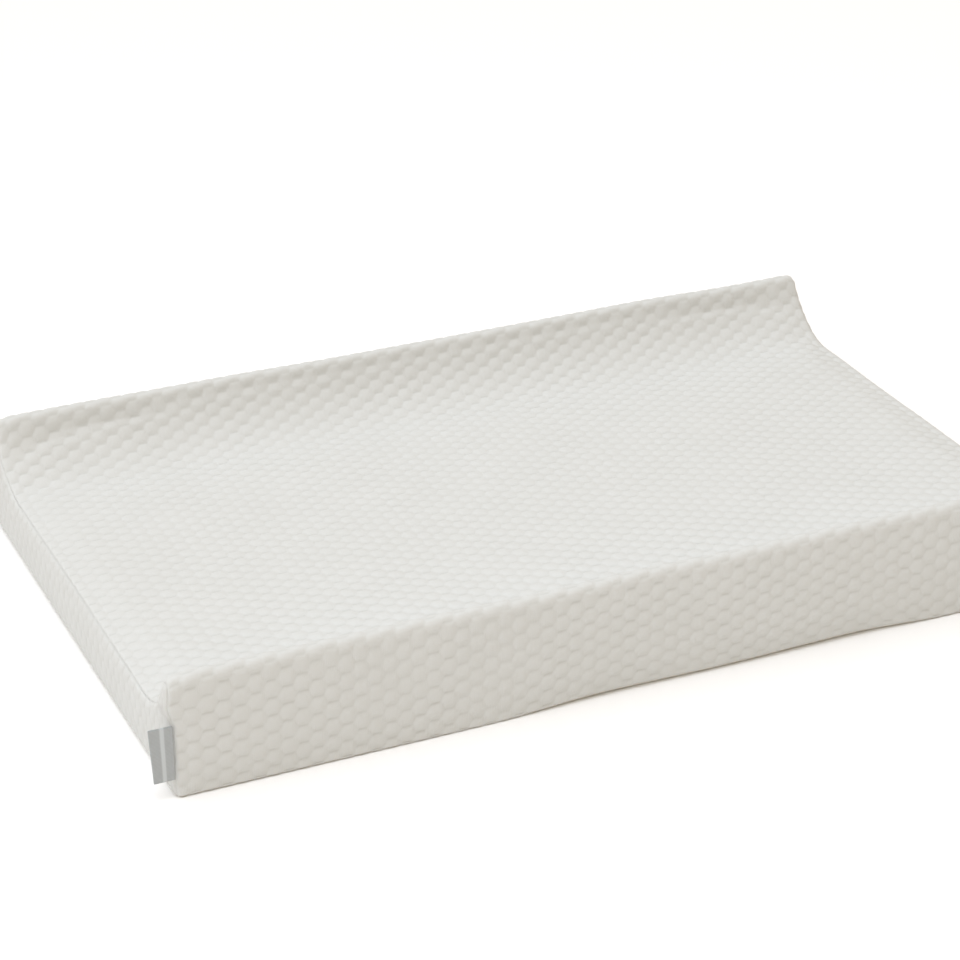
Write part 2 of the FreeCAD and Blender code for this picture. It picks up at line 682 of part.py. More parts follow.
def main():
    """Builds the changing pad and writes its sub-parts."""
    doc = FreeCAD.newDocument("changing_pad")
    make_sheet(doc)
    blocks = {layer: contour_block(doc, layer) for layer in LAYERS}
    keep(blocks["foam_core"], "foam_core")
    liner(doc, blocks["liner_face"], blocks["liner_back"])
    cover(doc, blocks["cover_face"], blocks["cover_back"])
    zip_tapes(doc)
    zip_coils(doc)
    zip_stops(doc)
    zip_slider(doc)
    zip_pull_tab(doc)
    ribbon_label(doc, "side_tag", "tag", -1, "180", 180)
    ribbon_label(doc, "care_label", "care", 1, cell("care_lean"), DIM["care_lean"])
    doc.recompute()
    check(doc)
    export()


main()
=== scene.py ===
"""Contoured changing pad: a foam trough in a padded honeycomb-knit cover with a zip at the back.

Everything is in metres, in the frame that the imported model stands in: +X along the pad, +Y towards
the back face with the zip, +Z up, and the origin in the middle of the underside.
"""

import logging
import math
from dataclasses import dataclass, field, replace
from enum import Enum

import bmesh
import bpy
import numpy as np
from mathutils import Matrix, Vector


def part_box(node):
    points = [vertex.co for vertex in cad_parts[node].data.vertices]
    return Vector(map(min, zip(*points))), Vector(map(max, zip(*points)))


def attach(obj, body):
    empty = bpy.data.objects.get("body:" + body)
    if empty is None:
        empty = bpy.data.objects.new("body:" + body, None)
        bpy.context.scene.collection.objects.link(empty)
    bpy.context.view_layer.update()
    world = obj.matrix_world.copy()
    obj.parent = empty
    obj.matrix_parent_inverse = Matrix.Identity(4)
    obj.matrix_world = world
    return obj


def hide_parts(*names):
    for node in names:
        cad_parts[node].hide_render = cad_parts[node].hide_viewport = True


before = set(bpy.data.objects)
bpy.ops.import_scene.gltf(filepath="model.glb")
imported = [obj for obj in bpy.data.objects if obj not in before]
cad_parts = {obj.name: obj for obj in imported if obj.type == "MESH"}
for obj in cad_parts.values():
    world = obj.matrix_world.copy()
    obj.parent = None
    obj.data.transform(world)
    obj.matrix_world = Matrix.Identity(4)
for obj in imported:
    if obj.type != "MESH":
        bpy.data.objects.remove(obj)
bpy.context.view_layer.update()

MM = 0.001
LOG = logging.getLogger("changing_pad")


# ---------------------------------------------------------------- small helpers


def linear(colour: str) -> tuple[float, float, float, float]:
    """Turn an sRGB hex colour to linear light.

    Args:
        colour: the colour as "#rrggbb".

    Returns:
        Red, green, blue and an alpha of 1.
    """
    parts = [int(colour[i:i + 2], 16) / 255 for i in (1, 3, 5)]
    light = [c / 12.92 if c <= 0.04045 else ((c + 0.055) / 1.055) ** 2.4 for c in parts]
    return light[0], light[1], light[2], 1.0


def smoothstep(value: np.ndarray, low: float, high: float) -> np.ndarray:
    """Rise smoothly from 0 at low to 1 at high.

    Args:
        value: where it is read.
        low: the value that gives 0.
        high: the value that gives 1.

    Returns:
        Numbers from 0 to 1.
    """
    t = np.clip((value - low) / (high - low), 0.0, 1.0)
    return t * t * (3 - 2 * t)


def ripple(u: np.ndarray, v: np.ndarray, scale: float, seed: int) -> np.ndarray:
    """Make a smooth, seeded unevenness out of a few crossing waves.

    Args:
        u: first cloth coordinate, in metres.
        v: second cloth coordinate, in metres.
        scale: the typical wavelength, in metres.
        seed: chooses the waves.

    Returns:
        Values of about -1 to 1.
    """
    draw = np.random.default_rng(seed)
    total = np.zeros_like(u)
    for _ in range(7):
        turn, phase = draw.uniform(0, 2 * math.pi, 2)
        k = 2 * math.pi / (scale * draw.uniform(0.7, 1.5))
        total += np.sin(k * (u * math.cos(turn) + v * math.sin(turn)) + phase)
    return total / 4.2


def length_of(vectors: np.ndarray) -> np.ndarray:
    """Give the length of each row."""
    return np.linalg.norm(vectors, axis=1)


def read(mesh: bpy.types.Mesh, name: str) -> np.ndarray:
    """Read a vector attribute of a mesh's points.

    Args:
        mesh: the mesh.
        name: the attribute's name.

    Returns:
        One row of three numbers for each vertex.
    """
    out = np.zeros(len(mesh.vertices) * 3, np.float32)
    mesh.attributes[name].data.foreach_get("vector", out)
    return out.reshape(-1, 3).astype(float)


def new_object(name: str, mesh: bpy.types.Mesh, smooth: bool = True) -> bpy.types.Object:
    """Link a mesh to the scene as an object at the origin.

    Args:
        name: the object's name.
        mesh: its mesh.
        smooth: whether its faces are shaded smooth.

    Returns:
        The object.
    """
    mesh.polygons.foreach_set("use_smooth", [smooth] * len(mesh.polygons))
    piece = bpy.data.objects.new(name, mesh)
    bpy.context.scene.collection.objects.link(piece)
    return piece


def mesh_from(bm: bmesh.types.BMesh, name: str) -> bpy.types.Mesh:
    """Write a bmesh to a new mesh and free it.

    Args:
        bm: the bmesh.
        name: the mesh's name.

    Returns:
        The mesh.
    """
    mesh = bpy.data.meshes.new(name)
    bm.to_mesh(mesh)
    bm.free()
    return mesh


def write_cloth(mesh: bpy.types.Mesh, places: np.ndarray) -> None:
    """Write each vertex's place in the flat cloth, in metres, as the mesh's UV map.

    Args:
        mesh: the mesh.
        places: one row of two numbers for each vertex.
    """
    corner = np.zeros(len(mesh.loops), np.int32)
    mesh.loops.foreach_get("vertex_index", corner)
    layer = mesh.uv_layers.new(name="cloth")
    layer.data.foreach_set("uv", places[corner].astype(np.float32).ravel())


def write_mark(mesh: bpy.types.Mesh, name: str, values: np.ndarray) -> None:
    """Write a number for each vertex, which a material reads by name."""
    mark = mesh.attributes.new(name, "FLOAT", "POINT")
    mark.data.foreach_set("value", values.astype(np.float32))


def turn_about(bm: bmesh.types.BMesh, axis: str, angle: float,
               centre: tuple[float, float, float] = (0, 0, 0)) -> None:
    """Turn everything in a bmesh about an axis, by an angle in radians."""
    bmesh.ops.rotate(bm, verts=bm.verts[:], cent=centre, matrix=Matrix.Rotation(angle, 3, axis))


def repeat_along(bm: bmesh.types.BMesh, count: int, step: float) -> None:
    """Copy what a bmesh holds into a row along X.

    Args:
        bm: the bmesh, with the first one in its place.
        count: how many there are in the end.
        step: from one to the next.
    """
    one = bm.verts[:] + bm.edges[:] + bm.faces[:]
    for k in range(1, count):
        more = bmesh.ops.duplicate(bm, geom=one)["geom"]
        bmesh.ops.translate(bm, verts=[g for g in more if isinstance(g, bmesh.types.BMVert)],
                            vec=(k * step, 0, 0))


# ---------------------------------------------------------------- materials


def add_node(tree: bpy.types.NodeTree, kind: str, inputs: dict | None = None,
             settings: dict | None = None) -> bpy.types.Node:
    """Add a shader node with its settings, values and links.

    Args:
        tree: the material's node tree.
        kind: the node's type.
        inputs: socket name or index to a value, or to the output socket that feeds it.
        settings: the node's own properties.

    Returns:
        The node.
    """
    node = tree.nodes.new(kind)
    for key, value in (settings or {}).items():
        setattr(node, key, value)
    for key, value in (inputs or {}).items():
        if isinstance(value, bpy.types.NodeSocket):
            tree.links.new(value, node.inputs[key])
        else:
            node.inputs[key].default_value = value
    return node


class Place(Enum):
    """Where a pattern's coordinates come from."""

    OBJECT = "Object"
    CLOTH = "UV"


@dataclass(frozen=True)
class Finish:
    """What every finish has: a name, two tones, and how it meets light."""

    name: str
    colour: str
    tone: str
    roughness: float
    sheen: float = 0.0
    coat: float = 0.0
    ior: float = 1.5
    metallic: float = 0.0
    place: Place = Place.OBJECT

    def start(self) -> tuple[bpy.types.Material, bpy.types.NodeTree, bpy.types.Node,
                             bpy.types.NodeSocket]:
        """Make the material with its shader and its pattern coordinates in millimetres.

        Returns:
            The material, its tree, its Principled shader, and the coordinates.
        """
        material = bpy.data.materials.new(self.name)
        material.use_nodes = True
        tree = material.node_tree
        shader = tree.nodes["Principled BSDF"]
        shader.inputs["Roughness"].default_value = self.roughness
        shader.inputs["Metallic"].default_value = self.metallic
        if not self.metallic:
            shader.inputs["IOR"].default_value = self.ior
        shader.inputs["Sheen Weight"].default_value = self.sheen
        shader.inputs["Sheen Roughness"].default_value = 0.45
        shader.inputs["Coat Weight"].default_value = self.coat
        where = add_node(tree, "ShaderNodeTexCoord")
        scaled = add_node(tree, "ShaderNodeMapping",
                          {"Vector": where.outputs[self.place.value], "Scale": (1000, 1000, 1000)})
        return material, tree, shader, scaled.outputs["Vector"]

    def finish(self, tree: bpy.types.NodeTree, shader: bpy.types.Node, share: bpy.types.NodeSocket,
               height: bpy.types.NodeSocket, depth: float) -> None:
        """Join the two tones and the bump to the shader.

        Args:
            tree: the material's tree.
            shader: its Principled shader.
            share: how much of the second tone shows, from 0 to 1.
            height: the surface's fine height, from 0 to 1.
            depth: what a height of 1 is, in metres.
        """
        mixed = add_node(tree, "ShaderNodeMix", {0: share, 6: linear(self.colour),
                                                 7: linear(self.tone)},
                         {"data_type": "RGBA"})
        bump = add_node(tree, "ShaderNodeBump", {"Height": height, "Distance": depth,
                                                 "Strength": 1.0})
        tree.links.new(mixed.outputs[2], shader.inputs["Base Color"])
        tree.links.new(bump.outputs["Normal"], shader.inputs["Normal"])


def maths(tree: bpy.types.NodeTree, operation: str, a: object, b: object = 0.0) -> object:
    """Add one step of arithmetic.

    Args:
        tree: the material's tree.
        operation: the Math node's operation.
        a: the first value or socket.
        b: the second value or socket.

    Returns:
        The result's socket.
    """
    return add_node(tree, "ShaderNodeMath", {0: a, 1: b}, {"operation": operation}).outputs[0]


def waves(tree: bpy.types.NodeTree, where: object, axis: str, pitch: float) -> object:
    """Draw soft ridges across one axis.

    Args:
        tree: the material's tree.
        where: coordinates in millimetres.
        axis: X, Y or Z, the way from ridge to ridge.
        pitch: millimetres from ridge to ridge.

    Returns:
        A socket that runs from 0 to 1.
    """
    parts = add_node(tree, "ShaderNodeSeparateXYZ", {0: where})
    turn = maths(tree, "MULTIPLY", parts.outputs[axis], 2 * math.pi / pitch)
    return maths(tree, "ADD", maths(tree, "MULTIPLY", maths(tree, "SINE", turn), 0.5), 0.5)


def noise(tree: bpy.types.NodeTree, where: object, size: float, detail: float = 2.0) -> object:
    """Draw a cloudy unevenness.

    Args:
        tree: the material's tree.
        where: coordinates in millimetres.
        size: the clouds' size, in millimetres.
        detail: how many finer octaves it has.

    Returns:
        A socket that runs from about 0 to 1.
    """
    return add_node(tree, "ShaderNodeTexNoise",
                    {"Vector": where, "Scale": 1.0 / size, "Detail": detail}).outputs[0]


@dataclass(frozen=True)
class HoneycombKnit(Finish):
    """Double-jersey polyester-cotton knit, padded: soft, matt, with a faint fuzz."""

    wale: float = 1.25      # a real wale is about 0.9 mm; drawn coarser so that it shows
    course: float = 1.0

    def make(self) -> bpy.types.Material:
        """Make the material."""
        material, tree, shader, where = self.start()
        # The loops stand in wales, so the knit has fine ribs one way and a softer beat the other.
        ribs = waves(tree, where, "X", self.wale)
        beat = waves(tree, where, "Y", self.course)
        loops = maths(tree, "MULTIPLY", maths(tree, "MULTIPLY", ribs, 0.7),
                      maths(tree, "ADD", maths(tree, "MULTIPLY", beat, 0.5), 0.5))
        fuzz = noise(tree, where, 0.6, 3.0)
        height = maths(tree, "ADD", loops, maths(tree, "MULTIPLY", fuzz, 0.4))
        # A little painted shade darkens the grooves between the cells and the seams, and the cloth is not
        # one even white.
        painted_valley_shade = add_node(tree, "ShaderNodeAttribute", None, {"attribute_name": "painted_valley_shade"}).outputs["Fac"]
        cloud = noise(tree, where, 45.0, 3.0)
        share = maths(tree, "ADD", maths(tree, "MULTIPLY", painted_valley_shade, 0.45),
                      maths(tree, "MULTIPLY", cloud, 0.22))
        self.finish(tree, shader, share, height, 0.00008)
        return material


@dataclass(frozen=True)
class PlainWeave(Finish):
    """Plain-woven polyester: warp and weft threads cross one over one."""

    thread: float = 0.9     # real threads are 0.4 mm apart; drawn coarser so that they show

    def make(self) -> bpy.types.Material:
        """Make the material."""
        material, tree, shader, where = self.start()
        warp = waves(tree, where, "X", self.thread)
        weft = waves(tree, where, "Y", self.thread)
        height = maths(tree, "MAXIMUM", warp, weft)
        share = maths(tree, "MULTIPLY", noise(tree, where, 12.0),
                      maths(tree, "SUBTRACT", 1.0, height))
        self.finish(tree, shader, share, height, 0.00012)
        return material


@dataclass(frozen=True)
class HerringboneTape(Finish):
    """Woven polyester zip tape: a twill that turns back on itself every few millimetres."""

    twill: float = 1.1
    fold: float = 3.2       # where the twill turns back

    def make(self) -> bpy.types.Material:
        """Make the material."""
        material, tree, shader, where = self.start()
        parts = add_node(tree, "ShaderNodeSeparateXYZ", {0: where})
        fold = add_node(tree, "ShaderNodeMath", {0: parts.outputs["Z"], 1: self.fold},
                        {"operation": "PINGPONG"}).outputs[0]
        slant = maths(tree, "ADD", parts.outputs["X"], fold)
        rib = maths(tree, "SINE", maths(tree, "MULTIPLY", slant, 2 * math.pi / self.twill))
        height = maths(tree, "ADD", maths(tree, "MULTIPLY", rib, 0.5), 0.5)
        share = maths(tree, "MULTIPLY", maths(tree, "SUBTRACT", 1.0, height), 0.8)
        self.finish(tree, shader, share, height, 0.00012)
        return material


@dataclass(frozen=True)
class Smooth(Finish):
    """A moulded, lacquered or filmed surface: almost even, with a fine orange peel."""

    grain: float = 1.5
    depth: float = 0.00002

    def make(self) -> bpy.types.Material:
        """Make the material."""
        material, tree, shader, where = self.start()
        peel = noise(tree, where, self.grain, 2.0)
        share = maths(tree, "MULTIPLY", noise(tree, where, 9.0, 3.0), 0.5)
        self.finish(tree, shader, share, peel, self.depth)
        return material


@dataclass(frozen=True)
class Grosgrain(Finish):
    """Grosgrain ribbon: a stiff rib across the width, with one paler woven stripe."""

    rib: float = 1.0        # a real rib is about 0.7 mm
    warp: float = 0.55
    line_colour: str = "#c9cfd2"

    def make(self) -> bpy.types.Material:
        """Make the material."""
        material, tree, shader, where = self.start()
        rib = waves(tree, where, "Y", self.rib)
        warp = waves(tree, where, "X", self.warp)
        height = maths(tree, "ADD", maths(tree, "MULTIPLY", rib, 0.8),
                       maths(tree, "MULTIPLY", warp, 0.2))
        share = maths(tree, "ADD", maths(tree, "MULTIPLY", noise(tree, where, 5.0), 0.3),
                      maths(tree, "MULTIPLY", maths(tree, "SUBTRACT", 1.0, rib), 0.5))
        self.finish(tree, shader, share, height, 0.00018)
        ground = shader.inputs["Base Color"].links[0].from_socket
        stripe = add_node(tree, "ShaderNodeAttribute", None, {"attribute_name": "stripe"}).outputs["Fac"]
        both = add_node(tree, "ShaderNodeMix", {0: stripe, 6: ground, 7: linear(self.line_colour)},
                        {"data_type": "RGBA"})
        tree.links.new(both.outputs[2], shader.inputs["Base Color"])
        return material


@dataclass(frozen=True)
class Satin(Finish):
    """Satin ribbon: long floating threads that catch the light along one way."""

    thread: float = 0.5

    def make(self) -> bpy.types.Material:
        """Make the material."""
        material, tree, shader, where = self.start()
        shader.inputs["Anisotropic"].default_value = 0.5
        floats = waves(tree, where, "X", self.thread)
        share = maths(tree, "MULTIPLY", noise(tree, where, 4.0), 0.6)
        self.finish(tree, shader, share, floats, 0.00004)
        return material


@dataclass(frozen=True)
class CutFoam(Finish):
    """Open-cell polyurethane foam, hot-wire cut: small round pores of uneven size."""

    pore: float = 1.4

    def make(self) -> bpy.types.Material:
        """Make the material."""
        material, tree, shader, where = self.start()
        cells = add_node(tree, "ShaderNodeTexVoronoi", {"Vector": where, "Scale": 1.0 / self.pore})
        height = maths(tree, "MINIMUM", cells.outputs["Distance"], 1.0)
        share = maths(tree, "SUBTRACT", 1.0, height)
        self.finish(tree, shader, share, height, 0.0004)
        return material


# The knit's second tone is the colour of its painted shade in the grooves and seams, and of its random
# cloudiness.
KNIT = HoneycombKnit("honeycomb_knit", "#d6d8d7", "#c0c2be", 0.9, sheen=0.12, place=Place.CLOTH)
BASE = PlainWeave("base_plain_weave", "#ebebe6", "#d2d2ca", 0.85, sheen=0.1, place=Place.CLOTH)
TAPE = HerringboneTape("zip_tape_weave", "#e2e2dd", "#c2c2ba", 0.8, sheen=0.1)
COIL = Smooth("nylon_coil", "#e4e4e0", "#d4d4ce", 0.35, ior=1.53)
STOP = Smooth("moulded_stop", "#f0f0ec", "#e2e2dc", 0.4, ior=1.53)
LACQUER = Smooth("lacquered_zinc", "#f1f1ee", "#e6e6e0", 0.28, coat=0.4, ior=1.5)
TAG = Grosgrain("tag_grosgrain", "#b9bec1", "#9a9fa1", 0.8, sheen=0.2, place=Place.CLOTH)
CARE = Satin("care_satin", "#e6e6e3", "#d8d8d3", 0.42, sheen=0.2, place=Place.CLOTH)
FOAM = CutFoam("cut_foam", "#efe9d2", "#d9d0b0", 0.95)
FILM = Smooth("liner_film", "#e9edee", "#dfe4e6", 0.45, ior=1.48, grain=0.8, depth=0.00005)
THREAD = Smooth("polyester_thread", "#f4f4f0", "#dadad2", 0.6, ior=1.53, grain=0.4, depth=0.00006)


def dress(piece: bpy.types.Object, material: bpy.types.Material) -> None:
    """Give an object one material, on the object's own slot.

    Args:
        piece: the object.
        material: its material.
    """
    if not piece.material_slots:
        piece.data.materials.append(None)
    for place in piece.material_slots:
        place.link = "OBJECT"
        place.material = material


def dress_nodes(nodes: tuple[str, ...], look: Finish) -> None:
    """Give the CAD solids that stay in the picture one shared finish.

    Args:
        nodes: their node names.
        look: the finish.
    """
    material = look.make()
    for node in nodes:
        dress(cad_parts[node], material)


# ---------------------------------------------------------------- the cover's form


@dataclass(frozen=True)
class Section:
    """The pad's outline across its length, as the cover's outer face."""

    width: float = 0.440
    height: float = 0.090
    floor: float = 0.0485
    ridge_radius: float = 0.0065
    slope_radius: float = 0.060
    slope_centre: tuple[float, float] = (0.15188, 0.1085)
    base_radius: float = 0.009
    slope_turn: float = 67.9
    seam_height: float = 0.003
    zip_height: float = 0.022
    zip_gap: float = 0.005

    def half(self, base_radius: float) -> np.ndarray:
        """Walk the front half of the outline, from the underside's middle to the floor's middle.

        Args:
            base_radius: the bottom edge's rounding.

        Returns:
            Points (y, z), the same count for any radius.
        """
        out = self.width / 2
        steep = 90 - self.slope_turn
        ridge = (-(out - self.ridge_radius), self.height - self.ridge_radius)

        def arc(centre: tuple[float, float], radius: float, start: float, end: float) -> np.ndarray:
            """Walk an arc, given in degrees."""
            turn = np.radians(np.linspace(start, end, 120))
            return np.stack([centre[0] + radius * np.cos(turn), centre[1] + radius * np.sin(turn)], 1)

        def line(a: tuple[float, float], b: tuple[float, float]) -> np.ndarray:
            """Walk a straight stretch."""
            t = np.linspace(0, 1, 300)[:, None]
            return np.array(a) * (1 - t) + np.array(b) * t

        slope_at = (-self.slope_centre[0], self.slope_centre[1])
        pieces = [
            line((0, 0), (-(out - base_radius), 0)),
            arc((-(out - base_radius), base_radius), base_radius, 270, 180),
            line((-out, base_radius), (-out, ridge[1])),
            arc(ridge, self.ridge_radius, 180, steep),
            arc(slope_at, self.slope_radius, 180 + steep, 270),
            line((slope_at[0], self.floor), (0, self.floor)),
        ]
        return np.concatenate([pieces[0]] + [p[1:] for p in pieces[1:]])

    def loop(self, base_radius: float) -> np.ndarray:
        """Walk the whole outline, front half and then back half.

        Args:
            base_radius: the bottom edge's rounding.

        Returns:
            Points (y, z).
        """
        front = self.half(base_radius)
        back = front[::-1][1:] * [-1, 1]
        return np.concatenate([front, back])


@dataclass
class Outline:
    """The section as a measured path, so that cloth can be laid round it."""

    section: Section = field(default_factory=Section)

    def __post_init__(self) -> None:
        """Measure the path and how it changes with the bottom edge's rounding."""
        radius = self.section.base_radius
        self.points = self.section.loop(radius)
        self.per_mm = self.section.loop(radius + MM) - self.points
        step = length_of(np.diff(self.points, axis=0))
        self.length = np.concatenate([[0], np.cumsum(step)])
        along = np.gradient(self.points, self.length, axis=0)
        along /= length_of(along)[:, None]
        self.outward = np.stack([-along[:, 1], along[:, 0]], 1)
        self.total = self.length[-1]

    def at(self, s: np.ndarray) -> tuple[np.ndarray, np.ndarray, np.ndarray]:
        """Find points on the path.

        Args:
            s: distances along the path.

        Returns:
            The points, the outward directions, and the change for each millimetre more rounding.
        """
        def pick(table: np.ndarray) -> np.ndarray:
            """Interpolate a table at s."""
            return np.stack([np.interp(s, self.length, table[:, i]) for i in (0, 1)], 1)

        outward = pick(self.outward)
        outward /= length_of(outward)[:, None]
        return pick(self.points), outward, pick(self.per_mm)

    def where(self, front: bool, height: float) -> float:
        """Find the distance along the path of a height on the front or the back face.

        Args:
            front: the front face or the back face.
            height: the height, up to the ridge's crest.

        Returns:
            The distance along the path.
        """
        crest = self.crest_index()
        face = slice(crest - 600, crest + 1)
        s = np.interp(height, self.points[face, 1], self.length[face])
        return float(s if front else self.total - s)

    def crest_index(self) -> int:
        """Find the front ridge's highest point among the path's points."""
        return int(np.argmax(self.points[: len(self.points) // 2, 1]))

    def crest(self, front: bool) -> float:
        """Find the distance along the path of the front or the back ridge's highest point."""
        s = self.length[self.crest_index()]
        return float(s if front else self.total - s)


class Side(Enum):
    """The pad's two ends."""

    LEFT = -1
    RIGHT = 1


@dataclass
class CoverForm:
    """The shape that all the cover's panels are laid over, with its rounded ends and folds."""

    half_length: float = 0.360
    end_flat: float = 0.345          # beyond this the wrap begins to roll over the end
    end_radius: float = 0.005
    floor_end_radius: float = 0.008
    # The bottom edge's rounding along the front: places along the pad, each with its radius.
    base_folds: tuple[tuple[float, float], ...] = (
        (-0.36, 0.0025), (-0.13, 0.0015), (-0.035, 0.0098), (0.055, 0.0074), (0.165, 0.0105),
        (0.245, 0.0020), (0.36, 0.0060))
    crest_lift: float = 0.0019       # how far the cover stands up along the ridges
    corner_pull: float = 0.0018      # how far the ridges' sewn corners are drawn in
    corner_full: float = 0.0040      # how far the front ridge's left end stands out
    # The rounding of the ridges' ends, left and right: how far it reaches, and how far it drops.
    round_reach: tuple[float, float] = (0.020, 0.012)
    round_drop: tuple[float, float] = (0.0040, 0.0034)
    floor_lift: float = 0.0006       # how far the lying surface is crowned
    face_sway: float = 0.0006        # how uneven the upright faces are
    top_sway: float = 0.0007         # how uneven the top is
    columns: tuple[int, int, int] = (3, 8, 56)    # the grid's steps: rolled, beside the window, along it
    side_rows: int = 15
    top_rows: int = 78
    outline: Outline = field(default_factory=Outline)

    def radius(self, s: np.ndarray) -> np.ndarray:
        """Give the end's rounding, larger along the lying surface than at the ridges."""
        y, _ = self.outline.at(s)[0].T
        top = (s > self.outline.crest(True)) & (s < self.outline.crest(False))
        soft = smoothstep(np.abs(y), 0.205, 0.165) * top
        return self.end_radius + (self.floor_end_radius - self.end_radius) * soft

    def body(self, x: np.ndarray, s: np.ndarray) -> tuple[np.ndarray, np.ndarray]:
        """Find the outline's point beside x, with the folds at the bottom of the front.

        Args:
            x: places along the pad.
            s: places along the outline.

        Returns:
            Points (y, z) and outward directions.
        """
        points, outward, per_mm = self.outline.at(s)
        knots = np.array(self.base_folds)
        place = np.clip(x, knots[0, 0], knots[-1, 0])
        left = np.clip(np.searchsorted(knots[:, 0], place, side="right") - 1, 0, len(knots) - 2)
        span = (place - knots[left, 0]) / (knots[left + 1, 0] - knots[left, 0])
        ease = span * span * (3 - 2 * span)
        wanted = knots[left, 1] * (1 - ease) + knots[left + 1, 1] * ease
        change = np.where(points[:, 0] < 0, (wanted - self.outline.section.base_radius) / MM, 0.0)
        return points + per_mm * change[:, None], outward

    def sculpt(self, points: np.ndarray) -> np.ndarray:
        """Pull the laid cloth into the slight unevenness of a sewn cover.

        Args:
            points: points in space.

        Returns:
            The points, moved by a few millimetres at most.
        """
        x, y, z = points.T
        height = self.outline.section.height
        ridge = smoothstep(z, height - 0.016, height - 0.001)
        inside = smoothstep(np.abs(y), 0.150, 0.120) * smoothstep(z, 0.030, 0.047)
        near_end = smoothstep(np.abs(x), self.half_length - 0.060, self.half_length)
        high = smoothstep(z, height - 0.024, height)
        left = x < 0
        reach = np.where(left, self.round_reach[0], self.round_reach[1])
        drop = np.where(left, self.round_drop[0], self.round_drop[1])
        rounded = drop * np.clip((np.abs(x) - self.half_length + reach) / reach, 0, 1) ** 2
        full = (smoothstep(z, 0.052, 0.078) * smoothstep(-y, 0.130, 0.200)
                * smoothstep(-x, self.half_length - 0.030, self.half_length))
        move = np.zeros_like(points)
        move[:, 0] = -np.sign(x) * self.corner_pull * near_end * high - self.corner_full * full
        move[:, 1] = self.face_sway * ripple(x, z, 0.16, 21) * smoothstep(z, 0.0, 0.02)
        move[:, 2] = (self.crest_lift * ridge + self.floor_lift * inside
                      + self.top_sway * ripple(x, y, 0.17, 22) * smoothstep(z, 0.030, 0.048)
                      - rounded * smoothstep(z, 0.050, 0.088))
        return points + move

    def roll(self, x: np.ndarray, s: np.ndarray, turn: np.ndarray, radius: np.ndarray,
             side: np.ndarray) -> tuple[np.ndarray, np.ndarray]:
        """Place points on the rounded edge between the outline and an end face.

        Args:
            x: where each point is along the pad before it rolls.
            s: places along the outline.
            turn: how far round the edge, from 0 on the outline to a right angle on the end face.
            radius: the edge's radius.
            side: -1 or 1, the end.

        Returns:
            Points in space, and the outward directions there.
        """
        section, outward = self.body(x, s)
        inset = radius * (1 - np.cos(turn))
        along = side * (self.half_length - radius + radius * np.sin(turn))
        flat = section - outward * inset[:, None]
        normal = np.stack([side * np.sin(turn), *(outward * np.cos(turn)[:, None]).T], 1)
        return np.stack([along, flat[:, 0], flat[:, 1]], 1), normal


FORM = CoverForm()


@dataclass(frozen=True)
class Honeycomb:
    """The knit's raised cells: rows of flat-sided hexagons, each second column half a cell along."""

    column: float = 0.0107
    pitch: float = 0.0119
    rise: float = 0.00115
    above: float = 0.0004            # how far the cells' tops stand above the cover's nominal face
    side_share: float = 0.7          # how deep the slanting grooves are beside the flat ones
    crown: float = 2.1               # how domed a cell is: more gives a flatter top

    def height(self, u: np.ndarray, v: np.ndarray) -> np.ndarray:
        """Give how far up its cell each place is, from 0 in a groove to 1 on top.

        Args:
            u: cloth coordinate from column to column.
            v: cloth coordinate along a column.

        Returns:
            Heights from 0 to 1.
        """
        base = np.floor(u / self.column + 0.5)
        near, centres = [], []
        for step in (-1, 0, 1):
            column = base + step
            shift = 0.5 * np.mod(column, 2)
            row = np.floor(v / self.pitch - shift + 0.5)
            for hop in (-1, 0, 1):
                cu, cv = column * self.column, (row + hop + shift) * self.pitch
                near.append((u - cu) ** 2 + (v - cv) ** 2)
                centres.append((cu, cv))
        squares = np.stack(near)
        first = squares.argmin(0)
        cu = np.choose(first, [c[0] for c in centres])
        cv = np.choose(first, [c[1] for c in centres])
        least = squares.min(0)
        reach = self.column * 0.5
        height = np.ones_like(u)
        for square, (ou, ov) in zip(near, centres):
            apart = np.hypot(ou - cu, ov - cv)
            away = np.where(apart > 1e-6, (square - least) / np.maximum(2 * apart, 1e-9), 1.0)
            fall = 1 - np.clip(away / reach, 0, 1)
            share = np.where(np.abs(ou - cu) > 1e-6, self.side_share, 1.0)
            height = np.minimum(height, 1 - share * fall ** self.crown)
        return height


